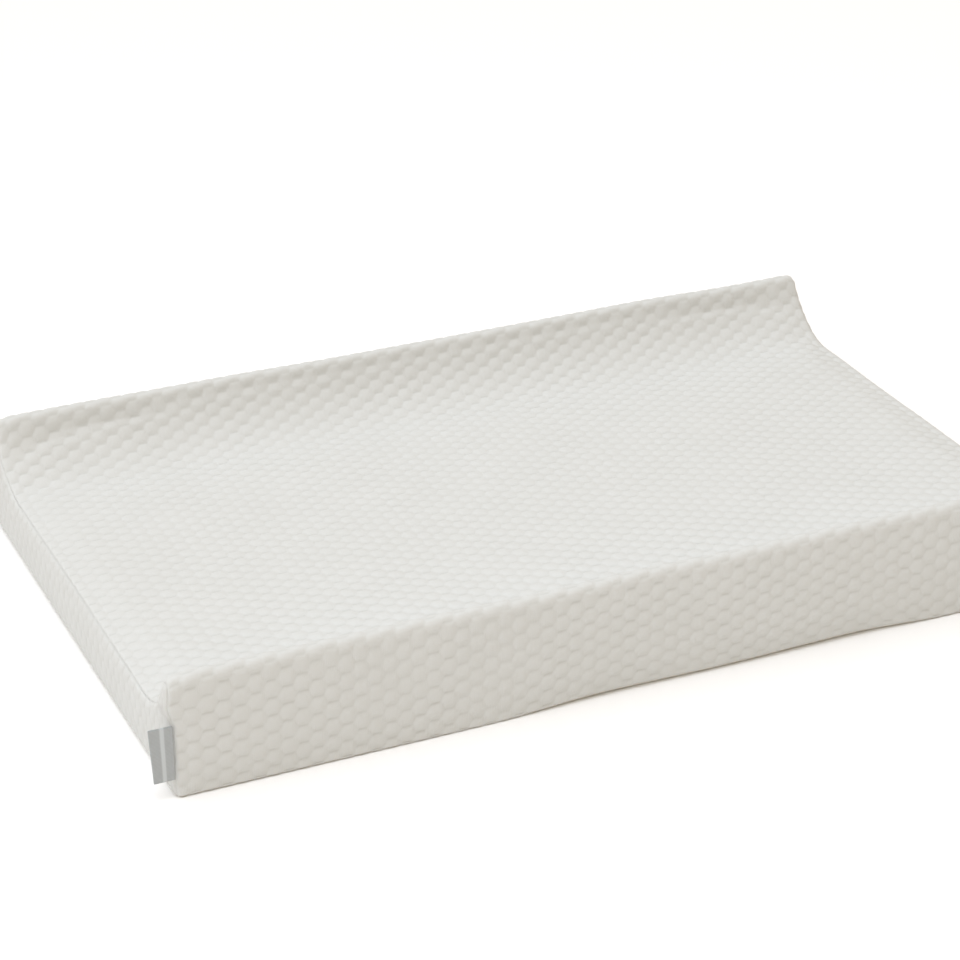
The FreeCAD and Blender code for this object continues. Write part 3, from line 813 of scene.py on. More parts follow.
@dataclass
class CoverPanel:
    """One cut piece of the cover: a grid of cloth laid over the form, with a real thickness."""

    name: str
    node: str
    finish: Finish
    gauge: float = 0.0025
    cuts: int = 3
    cells: Honeycomb | None = None
    seam_dip: float = 0.0004
    seam_width: float = 0.0014
    seam_painted_shade: float = 0.32         # how much painted shade a seam gets, beside the deepest groove's
    cell_start: float = 0.0028       # how far from a seam the cells have their full height
    wander: float = 0.0005           # how far the cells stray from their rows
    floor_gap: float = 0.0004        # how far the inner skin stays off what the pad lies on
    fill: float = 0.7

    def stations(self) -> tuple[np.ndarray, np.ndarray]:
        """Give the grid's lines across and along the panel."""
        raise NotImplementedError

    def lay(self, p: np.ndarray, q: np.ndarray) -> tuple[np.ndarray, np.ndarray]:
        """Lay grid parameters over the form.

        Args:
            p: the first parameter.
            q: the second parameter.

        Returns:
            Points in space, and the outward directions there.
        """
        raise NotImplementedError

    def cloth(self, p: np.ndarray, q: np.ndarray) -> tuple[np.ndarray, np.ndarray]:
        """Give the knit's own coordinates, which the cells follow."""
        raise NotImplementedError

    def seam(self, p: np.ndarray, q: np.ndarray) -> np.ndarray:
        """Give the distance in the cloth to the nearest seam or hem."""
        raise NotImplementedError

    def open_cells(self, p: float, q: float) -> bool:
        """Say whether the panel is cut away here."""
        return False

    def inner_gauge(self, points: np.ndarray) -> np.ndarray:
        """Give the cloth's thickness at each point."""
        return np.full(len(points), self.gauge)

    def grid(self) -> bmesh.types.BMesh:
        """Lay the coarse grid of cloth.

        Returns:
            A bmesh whose vertices know their cut place.
        """
        across, along = self.stations()
        columns, rows = len(across) - 1, len(along) - 1
        bm = bmesh.new()
        cut = bm.verts.layers.float_vector.new("cut")
        bm.verts.layers.float_vector.new("puff")
        bm.verts.layers.float_vector.new("skin")
        bmesh.ops.create_grid(bm, x_segments=columns, y_segments=rows, size=0.5)
        bm.verts.ensure_lookup_table()
        ij = np.array([(v.co.x + 0.5, v.co.y + 0.5) for v in bm.verts])
        i = np.rint(ij[:, 0] * columns).astype(int)
        j = np.rint(ij[:, 1] * rows).astype(int)
        p, q = across[i], along[j]
        points = FORM.sculpt(self.lay(p, q)[0])
        for vertex, a, b, point in zip(bm.verts, p, q, points):
            vertex[cut] = (a, b, 0.0)
            vertex.co = point
        return bm

    def build(self, puff: "Settled") -> bpy.types.Object:
        """Make the finished panel.

        Args:
            puff: how the sewn cover settled.

        Returns:
            The panel's object.
        """
        bm = self.grid()
        cut = bm.verts.layers.float_vector["cut"]
        move = bm.verts.layers.float_vector["puff"]
        skin = bm.verts.layers.float_vector["skin"]
        away = [f for f in bm.faces
                if self.open_cells(*(sum(v[cut][k] for v in f.verts) / 4 for k in (0, 1)))]
        bmesh.ops.delete(bm, geom=away, context="FACES")
        for vertex in bm.verts:
            vertex[move] = puff.at(vertex.co)
            vertex[skin] = (1.0, 0.0, 0.0)
        shell = bmesh.ops.extrude_face_region(bm, geom=bm.faces[:], use_keep_orig=True)
        inner = [v for v in shell["geom"] if isinstance(v, bmesh.types.BMVert)]
        params = np.array([v[cut] for v in inner])
        normals = self.lay(params[:, 0], params[:, 1])[1]
        for vertex, normal in zip(inner, normals):
            vertex[skin] = (0.0, 0.0, 0.0)
            vertex.co -= Vector(normal) * self.gauge
        bmesh.ops.recalc_face_normals(bm, faces=bm.faces[:])
        if bm.calc_volume(signed=True) < 0:
            bmesh.ops.reverse_faces(bm, faces=bm.faces[:])
        outer = [e for e in bm.edges if all(v[skin][0] > 0.5 for v in e.verts)]
        bmesh.ops.subdivide_edges(bm, edges=outer, cuts=self.cuts, use_grid_fill=True)
        mesh = mesh_from(bm, self.name)
        self.shape(mesh)
        piece = new_object(self.name, mesh)
        dress(piece, self.finish.make())
        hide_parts(self.node)
        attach(piece, "pad")
        return piece

    def shape(self, mesh: bpy.types.Mesh) -> None:
        """Put every vertex in its final place and write the cloth's coordinates.

        Args:
            mesh: the subdivided shell.
        """
        params, puff, skin = read(mesh, "cut"), read(mesh, "puff"), read(mesh, "skin")[:, 0] > 0.5
        p, q = params[:, 0], params[:, 1]
        points, normal = self.lay(p, q)
        points = FORM.sculpt(points)
        u, v = self.cloth(p, q)
        edge = self.seam(p, q)
        dip = self.seam_dip * np.exp(-(edge / self.seam_width) ** 2)
        pucker = 1 + 0.35 * ripple(u, v, 0.009, 11)
        # Painted shade: the colour darkens along the seams and, below, in the grooves between the cells.
        shade = self.seam_painted_shade * np.exp(-(edge / (1.3 * self.seam_width)) ** 2)
        lift = -dip * pucker
        if self.cells:
            cell = self.cells.height(u + self.wander * ripple(u, v, 0.09, 3),
                                     v + self.wander * ripple(u, v, 0.11, 4))
            full = smoothstep(edge, 0.0002, self.cell_start) * (1 + 0.12 * ripple(u, v, 0.05, 5))
            lift += self.cells.rise * (cell - 1) * full + self.cells.above * full
            shade = np.maximum(shade * 0.4, (1 - cell) ** 3 * full)
        moved = points + puff
        outer = moved + normal * lift[:, None]
        inner = moved - normal * self.inner_gauge(points)[:, None]
        final = np.where(skin[:, None], outer, inner)
        final[:, 2] = np.maximum(final[:, 2], np.where(skin, 0.0, self.floor_gap))
        mesh.vertices.foreach_set("co", final.astype(np.float32).ravel())
        for name in ("cut", "puff", "skin"):
            mesh.attributes.remove(mesh.attributes[name])
        # The painted shade goes to a mark that the knit's material reads.
        write_mark(mesh, "painted_valley_shade", np.clip(shade, 0, 1))
        write_cloth(mesh, np.stack([u, v], 1))
        mesh.update()


@dataclass
class GirthPanel(CoverPanel):
    """A panel that runs the pad's length and goes round part of its girth."""

    rows: tuple[float, ...] = ()
    window: float = 0.300            # half the zip's window, which a line of the grid keeps to

    def stations(self) -> tuple[np.ndarray, np.ndarray]:
        """Give the grid's lines along the pad and round the girth."""
        roll, wide, middle = FORM.columns
        edge = FORM.end_flat + self.rolled()
        right = np.concatenate([np.linspace(0, self.window, middle + 1),
                                np.linspace(self.window, FORM.end_flat, wide + 1)[1:],
                                np.linspace(FORM.end_flat, edge, roll + 1)[1:]])
        return np.concatenate([-right[::-1][:-1], right]), np.array(self.rows)

    def rolled(self) -> float:
        """Give the nominal length of cloth from the flat to the end seam."""
        return FORM.half_length - FORM.end_radius - FORM.end_flat + FORM.end_radius * math.pi / 4

    def lay(self, p: np.ndarray, q: np.ndarray) -> tuple[np.ndarray, np.ndarray]:
        """Lay the panel round the section and over the ends' edges."""
        side = np.where(p < 0, -1.0, 1.0)
        over = np.clip((np.abs(p) - FORM.end_flat) / self.rolled(), 0, 1)
        radius = FORM.radius(q)
        straight = FORM.half_length - radius - FORM.end_flat
        reach = over * (straight + radius * math.pi / 4)
        turn = np.maximum(reach - straight, 0) / radius
        x = np.where(over > 0, side * (FORM.end_flat + np.minimum(reach, straight)), p)
        rolled, normal = FORM.roll(x, q, turn, radius, side)
        rolled[:, 0] = np.where(turn > 0, rolled[:, 0], x)
        return rolled, normal

    def cloth(self, p: np.ndarray, q: np.ndarray) -> tuple[np.ndarray, np.ndarray]:
        """Let the cells keep step with the grid's lines, two to a cell."""
        across, _ = self.stations()
        lines = all_rows()
        i = np.interp(p, across, np.arange(len(across)) - (len(across) - 1) / 2)
        j = np.interp(q, lines, np.arange(len(lines)))
        return i * Honeycomb.column / 2, j * Honeycomb.pitch / 2

    def seam(self, p: np.ndarray, q: np.ndarray) -> np.ndarray:
        """Give the distance to the end seams and to the panel's long edges."""
        ends = FORM.end_flat + self.rolled() - np.abs(p)
        long = np.minimum(np.abs(q - self.rows[0]), np.abs(q - self.rows[-1]))
        return np.minimum(ends, long)


def front_rows() -> np.ndarray:
    """Give the outline's stations up the front face, from the base seam to the crest."""
    outline = FORM.outline
    return np.linspace(outline.where(True, outline.section.seam_height), outline.crest(True),
                       FORM.side_rows + 1)


def top_rows() -> np.ndarray:
    """Give the outline's stations over the top, from crest to crest."""
    return np.linspace(FORM.outline.crest(True), FORM.outline.crest(False), FORM.top_rows + 1)


# Which of back_rows() are the window's upper edge, the zip's middle and the window's lower edge.
WINDOW_TOP, ZIP_LINE, WINDOW_FOOT = 11, 12, 13


def back_rows() -> np.ndarray:
    """Give the outline's stations down the back face, with one on each line of the zip."""
    outline, section = FORM.outline, FORM.outline.section
    upper, middle, lower = (outline.where(False, section.zip_height + d)
                            for d in (section.zip_gap, 0, -section.zip_gap))
    bottom = outline.where(False, section.seam_height)
    return np.concatenate([np.linspace(outline.crest(False), upper, WINDOW_TOP + 1), [middle],
                           np.linspace(lower, bottom, 3)])


def base_rows() -> np.ndarray:
    """Give the outline's stations under the pad, from the back seam to the front seam."""
    back = back_rows()[-1]
    front = FORM.outline.total + front_rows()[0]
    return np.linspace(back, front, FORM.top_rows + 1)


def all_rows() -> np.ndarray:
    """Give every station of the cloth that goes over the pad, front to back."""
    return np.concatenate([front_rows(), top_rows()[1:], back_rows()[1:]])


@dataclass
class BackOpening(GirthPanel):
    """A panel that has one edge of the zip's window at the back."""

    hem_gauge: float = 0.0011        # the folded edge's thickness where it lies on the zip's tape
    hem_box: tuple[float, float, float] = (0.303, 0.215, 0.040)    # half its length, its face, its top

    def open_cells(self, p: float, q: float) -> bool:
        """Cut the window out."""
        rows = back_rows()
        return abs(p) < self.window and rows[WINDOW_TOP] < q < rows[WINDOW_FOOT]

    def seam(self, p: np.ndarray, q: np.ndarray) -> np.ndarray:
        """Give the distance to the end seams, the base seam and the window's edge."""
        rows = back_rows()
        ends = FORM.end_flat + self.rolled() - np.abs(p)
        start = front_rows()[0] - q
        base = np.minimum(np.abs(start), np.abs(q - rows[-1]))
        closed = np.hypot(np.maximum(self.window - np.abs(p), 0), np.abs(q - rows[ZIP_LINE]))
        hem = np.maximum(rows[WINDOW_TOP] - q, q - rows[WINDOW_FOOT])
        beside = np.hypot(np.maximum(np.abs(p) - self.window, 0), np.maximum(hem, 0))
        return np.minimum(np.minimum(ends, base), np.minimum(closed, beside))

    def inner_gauge(self, points: np.ndarray) -> np.ndarray:
        """Thin the folded edge where it lies on the zip's tape."""
        half, face, top = self.hem_box
        at_hem = (points[:, 1] > face) & (points[:, 2] < top) & (np.abs(points[:, 0]) < half)
        return np.where(at_hem, self.hem_gauge, self.gauge)


@dataclass
class BasePanel(GirthPanel):
    """The plain cloth under the pad."""

    def lay(self, p: np.ndarray, q: np.ndarray) -> tuple[np.ndarray, np.ndarray]:
        """Lay the panel under the pad; its stations pass the outline's own end."""
        return super().lay(p, np.mod(q, FORM.outline.total))

    def cloth(self, p: np.ndarray, q: np.ndarray) -> tuple[np.ndarray, np.ndarray]:
        """Run the threads along and across the pad."""
        return p, q - FORM.outline.total


@dataclass
class EndPanel(CoverPanel):
    """The panel that closes one end, with its edge rolled to the end seam."""

    side: Side = Side.LEFT
    border: float = 0.009            # how far in from its edge the panel feels the roll
    stops: int = 2800                # places on the outline that a nearest place is sought among
    batch: int = 2000                # points sought at a time

    def stations(self) -> tuple[np.ndarray, np.ndarray]:
        """Count the grid's lines from front to back and from bottom to top."""
        return np.arange(FORM.top_rows + 1.0), np.arange(FORM.side_rows + 1.0)

    def border_lines(self) -> list[np.ndarray]:
        """Give the outline's stations below, above, in front and behind, in the grid's order."""
        base = np.mod(base_rows()[::-1], FORM.outline.total)
        return [base, top_rows(), front_rows(), back_rows()[::-1]]

    def flat(self, p: np.ndarray, q: np.ndarray) -> np.ndarray:
        """Spread the grid over the section.

        Args:
            p: the column, a fraction between lines allowed.
            q: the row, a fraction between lines allowed.

        Returns:
            Points (y, z).
        """
        x = np.full(len(p), self.side.value * FORM.half_length)
        across, up = self.stations()
        below, above, front, back = self.border_lines()
        turn = np.interp(p, across, np.unwrap(below, period=FORM.outline.total))
        under = FORM.body(x, np.mod(turn, FORM.outline.total))[0]
        over = FORM.body(x, np.interp(p, across, above))[0]
        left = FORM.body(x, np.interp(q, up, front))[0]
        right = FORM.body(x, np.interp(q, up, back))[0]
        a, b = (p / across[-1])[:, None], (q / up[-1])[:, None]
        ends = x[:1].repeat(2)
        c00, c01 = FORM.body(ends, front[[0, -1]])[0]
        c10, c11 = FORM.body(ends, back[[0, -1]])[0]
        corners = (1 - a) * ((1 - b) * c00 + b * c01) + a * ((1 - b) * c10 + b * c11)
        return (1 - b) * under + b * over + (1 - a) * left + a * right - corners

    def lay(self, p: np.ndarray, q: np.ndarray) -> tuple[np.ndarray, np.ndarray]:
        """Spread the panel over the end and roll its border to the seam."""
        flat = self.flat(p, q)
        s, depth = self.nearest(flat)
        x = np.full(len(p), self.side.value * FORM.half_length)
        contour, outward = FORM.body(x, s)
        radius = FORM.radius(s)
        quarter = radius * math.pi / 4
        length = quarter + self.border - radius
        cloth = depth * length / self.border
        turn = np.minimum(math.pi / 4 + cloth / radius, math.pi / 2)
        inset = np.where(cloth < quarter, radius * (1 - np.cos(turn)), radius + cloth - quarter)
        near = contour - outward * inset[:, None]
        out = self.side.value * (FORM.half_length - radius + radius * np.sin(turn))
        rolled = np.stack([out, near[:, 0], near[:, 1]], 1)
        plain = np.stack([x, flat[:, 0], flat[:, 1]], 1)
        normal = np.stack([self.side.value * np.sin(turn), *(outward * np.cos(turn)[:, None]).T], 1)
        return np.where((depth < self.border)[:, None], rolled, plain), normal

    def nearest(self, flat: np.ndarray) -> tuple[np.ndarray, np.ndarray]:
        """Find the nearest place on the outline.

        Args:
            flat: points (y, z).

        Returns:
            Places along the outline, and how deep inside it each point is.
        """
        stops = np.linspace(0, FORM.outline.total, self.stops)
        contour, outward = FORM.body(np.full(len(stops), self.side.value * FORM.half_length), stops)
        best, depth = np.zeros(len(flat)), np.zeros(len(flat))
        for start in range(0, len(flat), self.batch):
            these = slice(start, start + self.batch)
            part = flat[these]
            apart = ((part[:, None, :] - contour[None, :, :]) ** 2).sum(2)
            index = apart.argmin(1)
            away = part - contour[index]
            along = away[:, 0] * outward[index, 1] - away[:, 1] * outward[index, 0]
            best[these] = stops[index] + along
            depth[these] = np.sqrt(np.maximum(apart[np.arange(len(part)), index] - along ** 2, 0))
        return np.mod(best, FORM.outline.total), depth

    def cloth(self, p: np.ndarray, q: np.ndarray) -> tuple[np.ndarray, np.ndarray]:
        """Turn the knit a quarter, so that the cells' flat sides stand upright on the end."""
        flat = self.flat(p, q)
        return flat[:, 1], flat[:, 0]

    def seam(self, p: np.ndarray, q: np.ndarray) -> np.ndarray:
        """Give the distance to the end seam."""
        return self.nearest(self.flat(p, q))[1]


# ---------------------------------------------------------------- settling the sewn cover


@dataclass
class Settled:
    """The cover sewn up and blown gently outwards against its seams, as a stuffed cover settles."""

    panels: list[CoverPanel]
    pressure: float = 4.0
    steps: int = 20
    most: float = 0.0015             # the furthest that any place may move
    hold: float = 0.04               # how firmly the foam under it holds the cloth
    crest_hold: float = 0.7          # and how firmly along the ridges
    weld: float = 0.0004             # panels' edges this close are one seam
    moves: dict = field(default_factory=dict)

    def key(self, point: Vector) -> tuple[int, int, int]:
        """Name a place to a twentieth of a millimetre, for the table of moves."""
        return tuple(round(c * 20000) for c in point)

    def at(self, point: Vector) -> tuple[float, float, float]:
        """Give how far the cloth moved at a grid point."""
        return self.moves.get(self.key(point), (0.0, 0.0, 0.0))

    def run(self) -> None:
        """Sew the coarse panels together and let the cloth settle."""
        bm = bmesh.new()
        for panel in self.panels:
            part = mesh_from(panel.grid(), "part")
            bm.from_mesh(part)
            bpy.data.meshes.remove(part)
        borders = [v for v in bm.verts if v.is_boundary]
        seams = {self.key(v.co) for v in borders}
        bmesh.ops.remove_doubles(bm, verts=bm.verts[:], dist=self.weld)
        bmesh.ops.recalc_face_normals(bm, faces=bm.faces[:])
        if bm.calc_volume(signed=True) < 0:
            bmesh.ops.reverse_faces(bm, faces=bm.faces[:])
        open_edges = sum(e.is_boundary for e in bm.edges)
        LOG.info("sewn cover: %d vertices, %d open edges", len(bm.verts), open_edges)
        mesh = mesh_from(bm, "sewn_cover")
        start = np.array([v.co for v in mesh.vertices])
        pieces = new_object("sewn_cover", mesh)
        held = pieces.vertex_groups.new(name="held")
        for vertex in mesh.vertices:
            sewn = self.key(vertex.co) in seams
            low = vertex.co.z < 0.004
            tight = self.crest_hold if vertex.co.z > 0.080 else self.hold
            held.add([vertex.index], 1.0 if sewn or low else tight, "REPLACE")
        cloth = pieces.modifiers.new("Cloth", "CLOTH")
        rules = cloth.settings
        rules.quality = 5
        rules.mass = 0.3
        rules.tension_stiffness = rules.compression_stiffness = 15
        rules.shear_stiffness = 5
        rules.bending_stiffness = 0.5
        rules.vertex_group_mass = "held"
        rules.pin_stiffness = 1.0
        rules.use_pressure = True
        rules.uniform_pressure_force = self.pressure
        rules.effector_weights.gravity = 0
        cloth.point_cache.frame_start, cloth.point_cache.frame_end = 1, self.steps + 5
        scene = bpy.context.scene
        for step in range(1, self.steps + 1):
            scene.frame_set(step)
        ready = pieces.evaluated_get(bpy.context.evaluated_depsgraph_get())
        end = np.array([v.co for v in ready.data.vertices])
        scene.frame_set(1)
        bpy.data.objects.remove(pieces)
        move = end - start
        size = length_of(move)
        move *= (self.most * np.tanh(size / self.most) / np.maximum(size, 1e-9))[:, None]
        move *= smoothstep(start[:, 2], 0.0, 0.012)[:, None]
        for place, shift in zip(start, move):
            self.moves[self.key(Vector(place))] = tuple(shift)
        LOG.info("settled: cloth moved %.1f mm at most, %.1f mm before its cap",
                 length_of(move).max() / MM, size.max() / MM)


@dataclass
class Cover:
    """The removable cover: wrap, two ends, back strip and base."""

    cells: Honeycomb = field(default_factory=Honeycomb)
    end_share: float = 0.7           # how high the cells are on the ends, which are pulled flatter

    def build(self) -> list[bpy.types.Object]:
        """Make every panel.

        Returns:
            The panels' objects.
        """
        rows = back_rows()
        flatter = replace(self.cells, rise=self.cells.rise * self.end_share)
        over = np.concatenate([front_rows(), top_rows()[1:], rows[1:ZIP_LINE + 1]])
        panels = [
            BackOpening("cover_wrap_knit", "cover_wrap", KNIT, cells=self.cells, rows=tuple(over)),
            BackOpening("cover_back_strip_knit", "cover_back_strip", KNIT, cells=self.cells,
                        rows=tuple(rows[ZIP_LINE:])),
            BasePanel("cover_base_cloth", "cover_base", BASE, cuts=1, rows=tuple(base_rows()),
                      seam_dip=0.0006),
            EndPanel("cover_left_end_knit", "cover_left_end", KNIT, cells=flatter, side=Side.LEFT),
            EndPanel("cover_right_end_knit", "cover_right_end", KNIT, cells=flatter, side=Side.RIGHT),
        ]
        settled = Settled(panels)
        settled.run()
        made = []
        for panel in panels:
            made.append(panel.build(settled))
            LOG.info("%s: %d faces", panel.name, len(made[-1].data.polygons))
        return made


# ---------------------------------------------------------------- the zip


@dataclass
class Zip:
    """The back zip: woven tapes, an interlocked nylon coil, stops, slider and pull tab."""

    turn: float = 0.0014             # from one loop of the coil to the next
    wire: float = 0.00033
    overlap: float = 0.0004          # how far the two coils' heads pass the middle line
    stitch: float = 0.0030
    stitch_gap: float = 0.0009
    stitch_wire: float = 0.00028
    stitch_bow: float = 0.00028      # how far a stitch's ends dip into the cloth
    stitch_sunk: float = 0.0003      # how deep its middle lies
    stitch_half: float = 0.297       # half a line of stitches
    hem: float = 0.0026              # from the window's edge to its line of stitches

    def loop(self, reach: float, height: float) -> bmesh.types.BMesh:
        """Make one loop of the coil: a flattened ring with a bulged head.

        Args:
            reach: the loop's length across the tape.
            height: its height off the tape.

        Returns:
            A bmesh with the loop's middle at the origin, its reach along Z.
        """
        bm = bmesh.new()
        ring = bmesh.ops.create_circle(bm, segments=5, radius=self.wire)
        # The wire's section is spun about X into a ring, then pulled long and a little slanted.
        bmesh.ops.translate(bm, verts=ring["verts"], vec=(0, height / 2 - self.wire, 0))
        bmesh.ops.spin(bm, geom=bm.edges[:], cent=(0, 0, 0), axis=(1, 0, 0), dvec=(0, 0, 0),
                       angle=2 * math.pi, steps=10, use_merge=True, use_duplicate=False)
        stretch = (reach / 2) / (height / 2)
        for vertex in bm.verts:
            head = 1 + 0.35 * max(vertex.co.z / height, 0)
            vertex.co.x = vertex.co.x * head + vertex.co.y * 0.16
            vertex.co.z *= stretch
        bmesh.ops.recalc_face_normals(bm, faces=bm.faces[:])
        return bm

    def coil(self, node: str, upper: bool) -> bpy.types.Object:
        """Make one side's coil along its tape.

        Args:
            node: the CAD node that the coil stands for.
            upper: the upper or the lower side.

        Returns:
            The coil's object.
        """
        low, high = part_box(node)
        middle = 0.5 * (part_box("zip_coil_upper")[0].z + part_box("zip_coil_lower")[1].z)
        edge = high.z if upper else low.z
        head = middle + (-self.overlap if upper else self.overlap)
        reach = abs(edge - head)
        bm = self.loop(reach, high.y - low.y)
        # The upper side's heads point down to the middle line, the lower side's point up.
        if upper:
            turn_about(bm, "Y", math.pi)
        count = int((high.x - low.x) / self.turn) - 1
        shift = 0.25 if upper else 0.75
        start = Vector((low.x + self.turn * (0.5 + shift), (low.y + high.y) / 2, (edge + head) / 2))
        bmesh.ops.translate(bm, verts=bm.verts[:], vec=start)
        repeat_along(bm, count, self.turn)
        piece = new_object(node + "_loops", mesh_from(bm, node + "_loops"))
        dress(piece, COIL.make())
        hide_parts(node)
        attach(piece, "pad")
        return piece

    def stitches(self, name: str, height: float) -> bpy.types.Object:
        """Sew a line of stitches beside the window, each a short bent thread.

        Args:
            name: the object's name.
            height: the line's height.

        Returns:
            The stitches' object.
        """
        bm = bmesh.new()
        bmesh.ops.create_uvsphere(bm, u_segments=6, v_segments=5, radius=1.0)
        turn_about(bm, "Y", math.radians(90))
        bmesh.ops.scale(bm, verts=bm.verts[:],
                        vec=((self.stitch - self.stitch_gap) / 2, self.stitch_wire, self.stitch_wire))
        for vertex in bm.verts:
            vertex.co.y -= self.stitch_bow * (vertex.co.x / (self.stitch / 2)) ** 2
        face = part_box("cover_back_strip")[1].y
        start = (-self.stitch_half + self.stitch / 2, face - self.stitch_sunk, height)
        bmesh.ops.translate(bm, verts=bm.verts[:], vec=start)
        repeat_along(bm, int(2 * self.stitch_half / self.stitch), self.stitch)
        piece = new_object(name, mesh_from(bm, name))
        dress(piece, THREAD.make())
        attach(piece, "pad")
        return piece

    def build(self) -> list[bpy.types.Object]:
        """Make the zip and dress the pieces that stay as they are."""
        made = [self.coil("zip_coil_upper", True), self.coil("zip_coil_lower", False)]
        section = FORM.outline.section
        for word, sign in (("upper", 1), ("lower", -1)):
            height = section.zip_height + sign * (section.zip_gap + self.hem)
            made.append(self.stitches("zip_stitches_" + word, height))
        dress_nodes(("zip_tape_upper", "zip_tape_lower"), TAPE)
        dress_nodes(("zip_top_stops", "zip_bottom_stop"), STOP)
        dress_nodes(("zip_slider", "zip_pull_tab"), LACQUER)
        return made


# ---------------------------------------------------------------- ribbons


@dataclass
class FoldedRibbon:
    """A ribbon folded double, with its two ends sewn into a seam."""

    name: str
    node: str
    body: str
    finish: Finish
    height: float
    gauge: float
    gap: float                       # between the two layers' middles at the seam
    lean: float = 0.0                # how much less the fold reaches at the bottom
    stripe: tuple[float, float] | None = None
    direction: Vector = field(default_factory=lambda: Vector((-1, 0, 0)))
    root: Vector = field(default_factory=Vector)
    reach: float = 0.0165
    bottom: float = 0.0
    sag: float = 0.0008

    def path(self, t: np.ndarray) -> tuple[np.ndarray, np.ndarray]:
        """Walk from one sewn end to the fold and back.

        Args:
            t: places along the ribbon, from 0 to 1.

        Returns:
            How far out, and how far to the side.
        """
        radius = self.gap / 2
        straight = self.reach - radius - self.gauge / 2
        total = 2 * straight + math.pi * radius
        along = t * total
        turn = np.clip((along - straight) / radius, 0, math.pi)
        out = np.where(along < straight, along,
                       np.where(along > total - straight, total - along, straight + radius * np.sin(turn)))
        return out, radius * np.cos(turn)

    def length(self) -> float:
        """Give the ribbon's length before it was folded."""
        radius = self.gap / 2
        return 2 * (self.reach - radius - self.gauge / 2) + math.pi * radius

    def build(self) -> bpy.types.Object:
        """Make the ribbon.

        Returns:
            Its object.
        """
        bm = bmesh.new()
        spot = bm.verts.layers.float_vector.new("cut")
        bmesh.ops.create_grid(bm, x_segments=64, y_segments=40, size=0.5)
        side = Vector((-self.direction.y, self.direction.x, 0))
        for vertex in bm.verts:
            t, h = vertex.co.x + 0.5, vertex.co.y + 0.5
            out, across = self.path(np.array([t]))
            share = float(out[0]) / self.reach
            shrink = 1 - self.lean * (1 - h) * share
            sway = self.sag * share * math.sin(h * 5.0 + 0.6)
            thin = 1.0 - 0.25 * math.sin(math.pi * min(share, 1)) * 0.5
            place = (self.root + self.direction * float(out[0]) * shrink
                     + side * (float(across[0]) * thin + sway))
            vertex[spot] = (t * self.length(), h * self.height, 0.0)
            vertex.co = (place.x, place.y, self.bottom + h * self.height)
        mesh = mesh_from(bm, self.name)
        cut = read(mesh, "cut")
        mesh.attributes.remove(mesh.attributes["cut"])
        write_cloth(mesh, cut[:, :2])
        if self.stripe:
            middle, width = self.stripe
            half = self.length() / 2
            off = np.abs(np.abs(cut[:, 0] - half) - middle)
            write_mark(mesh, "stripe", 1 - smoothstep(off, width * 0.35, width * 0.65))
        piece = new_object(self.name, mesh)
        thick = piece.modifiers.new("Solidify", "SOLIDIFY")
        thick.thickness, thick.offset = self.gauge * 0.9, 0.0
        dress(piece, self.finish.make())
        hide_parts(self.node)
        self.length()
        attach(piece, self.body)
        return piece


@dataclass
class Ribbons:
    """The grey side tag at the front left and the blank care label at the back left."""

    label_lean: float = math.radians(18)

    def build(self) -> list[bpy.types.Object]:
        """Make both ribbons from their CAD places."""
        tag_low, tag_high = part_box("side_tag")
        tag = FoldedRibbon("side_tag_ribbon", "side_tag", "tag", TAG, tag_high.z - tag_low.z, 0.0005,
                           0.0011, lean=0.12, stripe=(0.0094, 0.0030), direction=Vector((-1, 0, 0)),
                           root=Vector((tag_high.x + 0.0006, (tag_low.y + tag_high.y) / 2, 0)),
                           reach=tag_high.x - tag_low.x + 0.0004, bottom=tag_low.z, sag=0.0004)
        low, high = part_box("care_label")
        direction = Vector((math.cos(self.label_lean), math.sin(self.label_lean), 0))
        start = Vector((low.x + 0.0003, low.y + 0.0006, 0))
        label = FoldedRibbon("care_label_ribbon", "care_label", "label", CARE, high.z - low.z, 0.0003,
                             0.0006, direction=direction, root=start, reach=0.0236, bottom=low.z,
                             sag=0.0005)
        return [tag.build(), label.build()]


# ---------------------------------------------------------------- what lies inside


class Inside:
    """The foam core and the waterproof liner, which the cover hides."""

    def build(self) -> None:
        """Dress the CAD solids that stay."""
        dress_nodes(("foam_core",), FOAM)
        dress_nodes(("liner_wrap", "liner_left_end", "liner_right_end", "liner_base"), FILM)


# ---------------------------------------------------------------- the studio


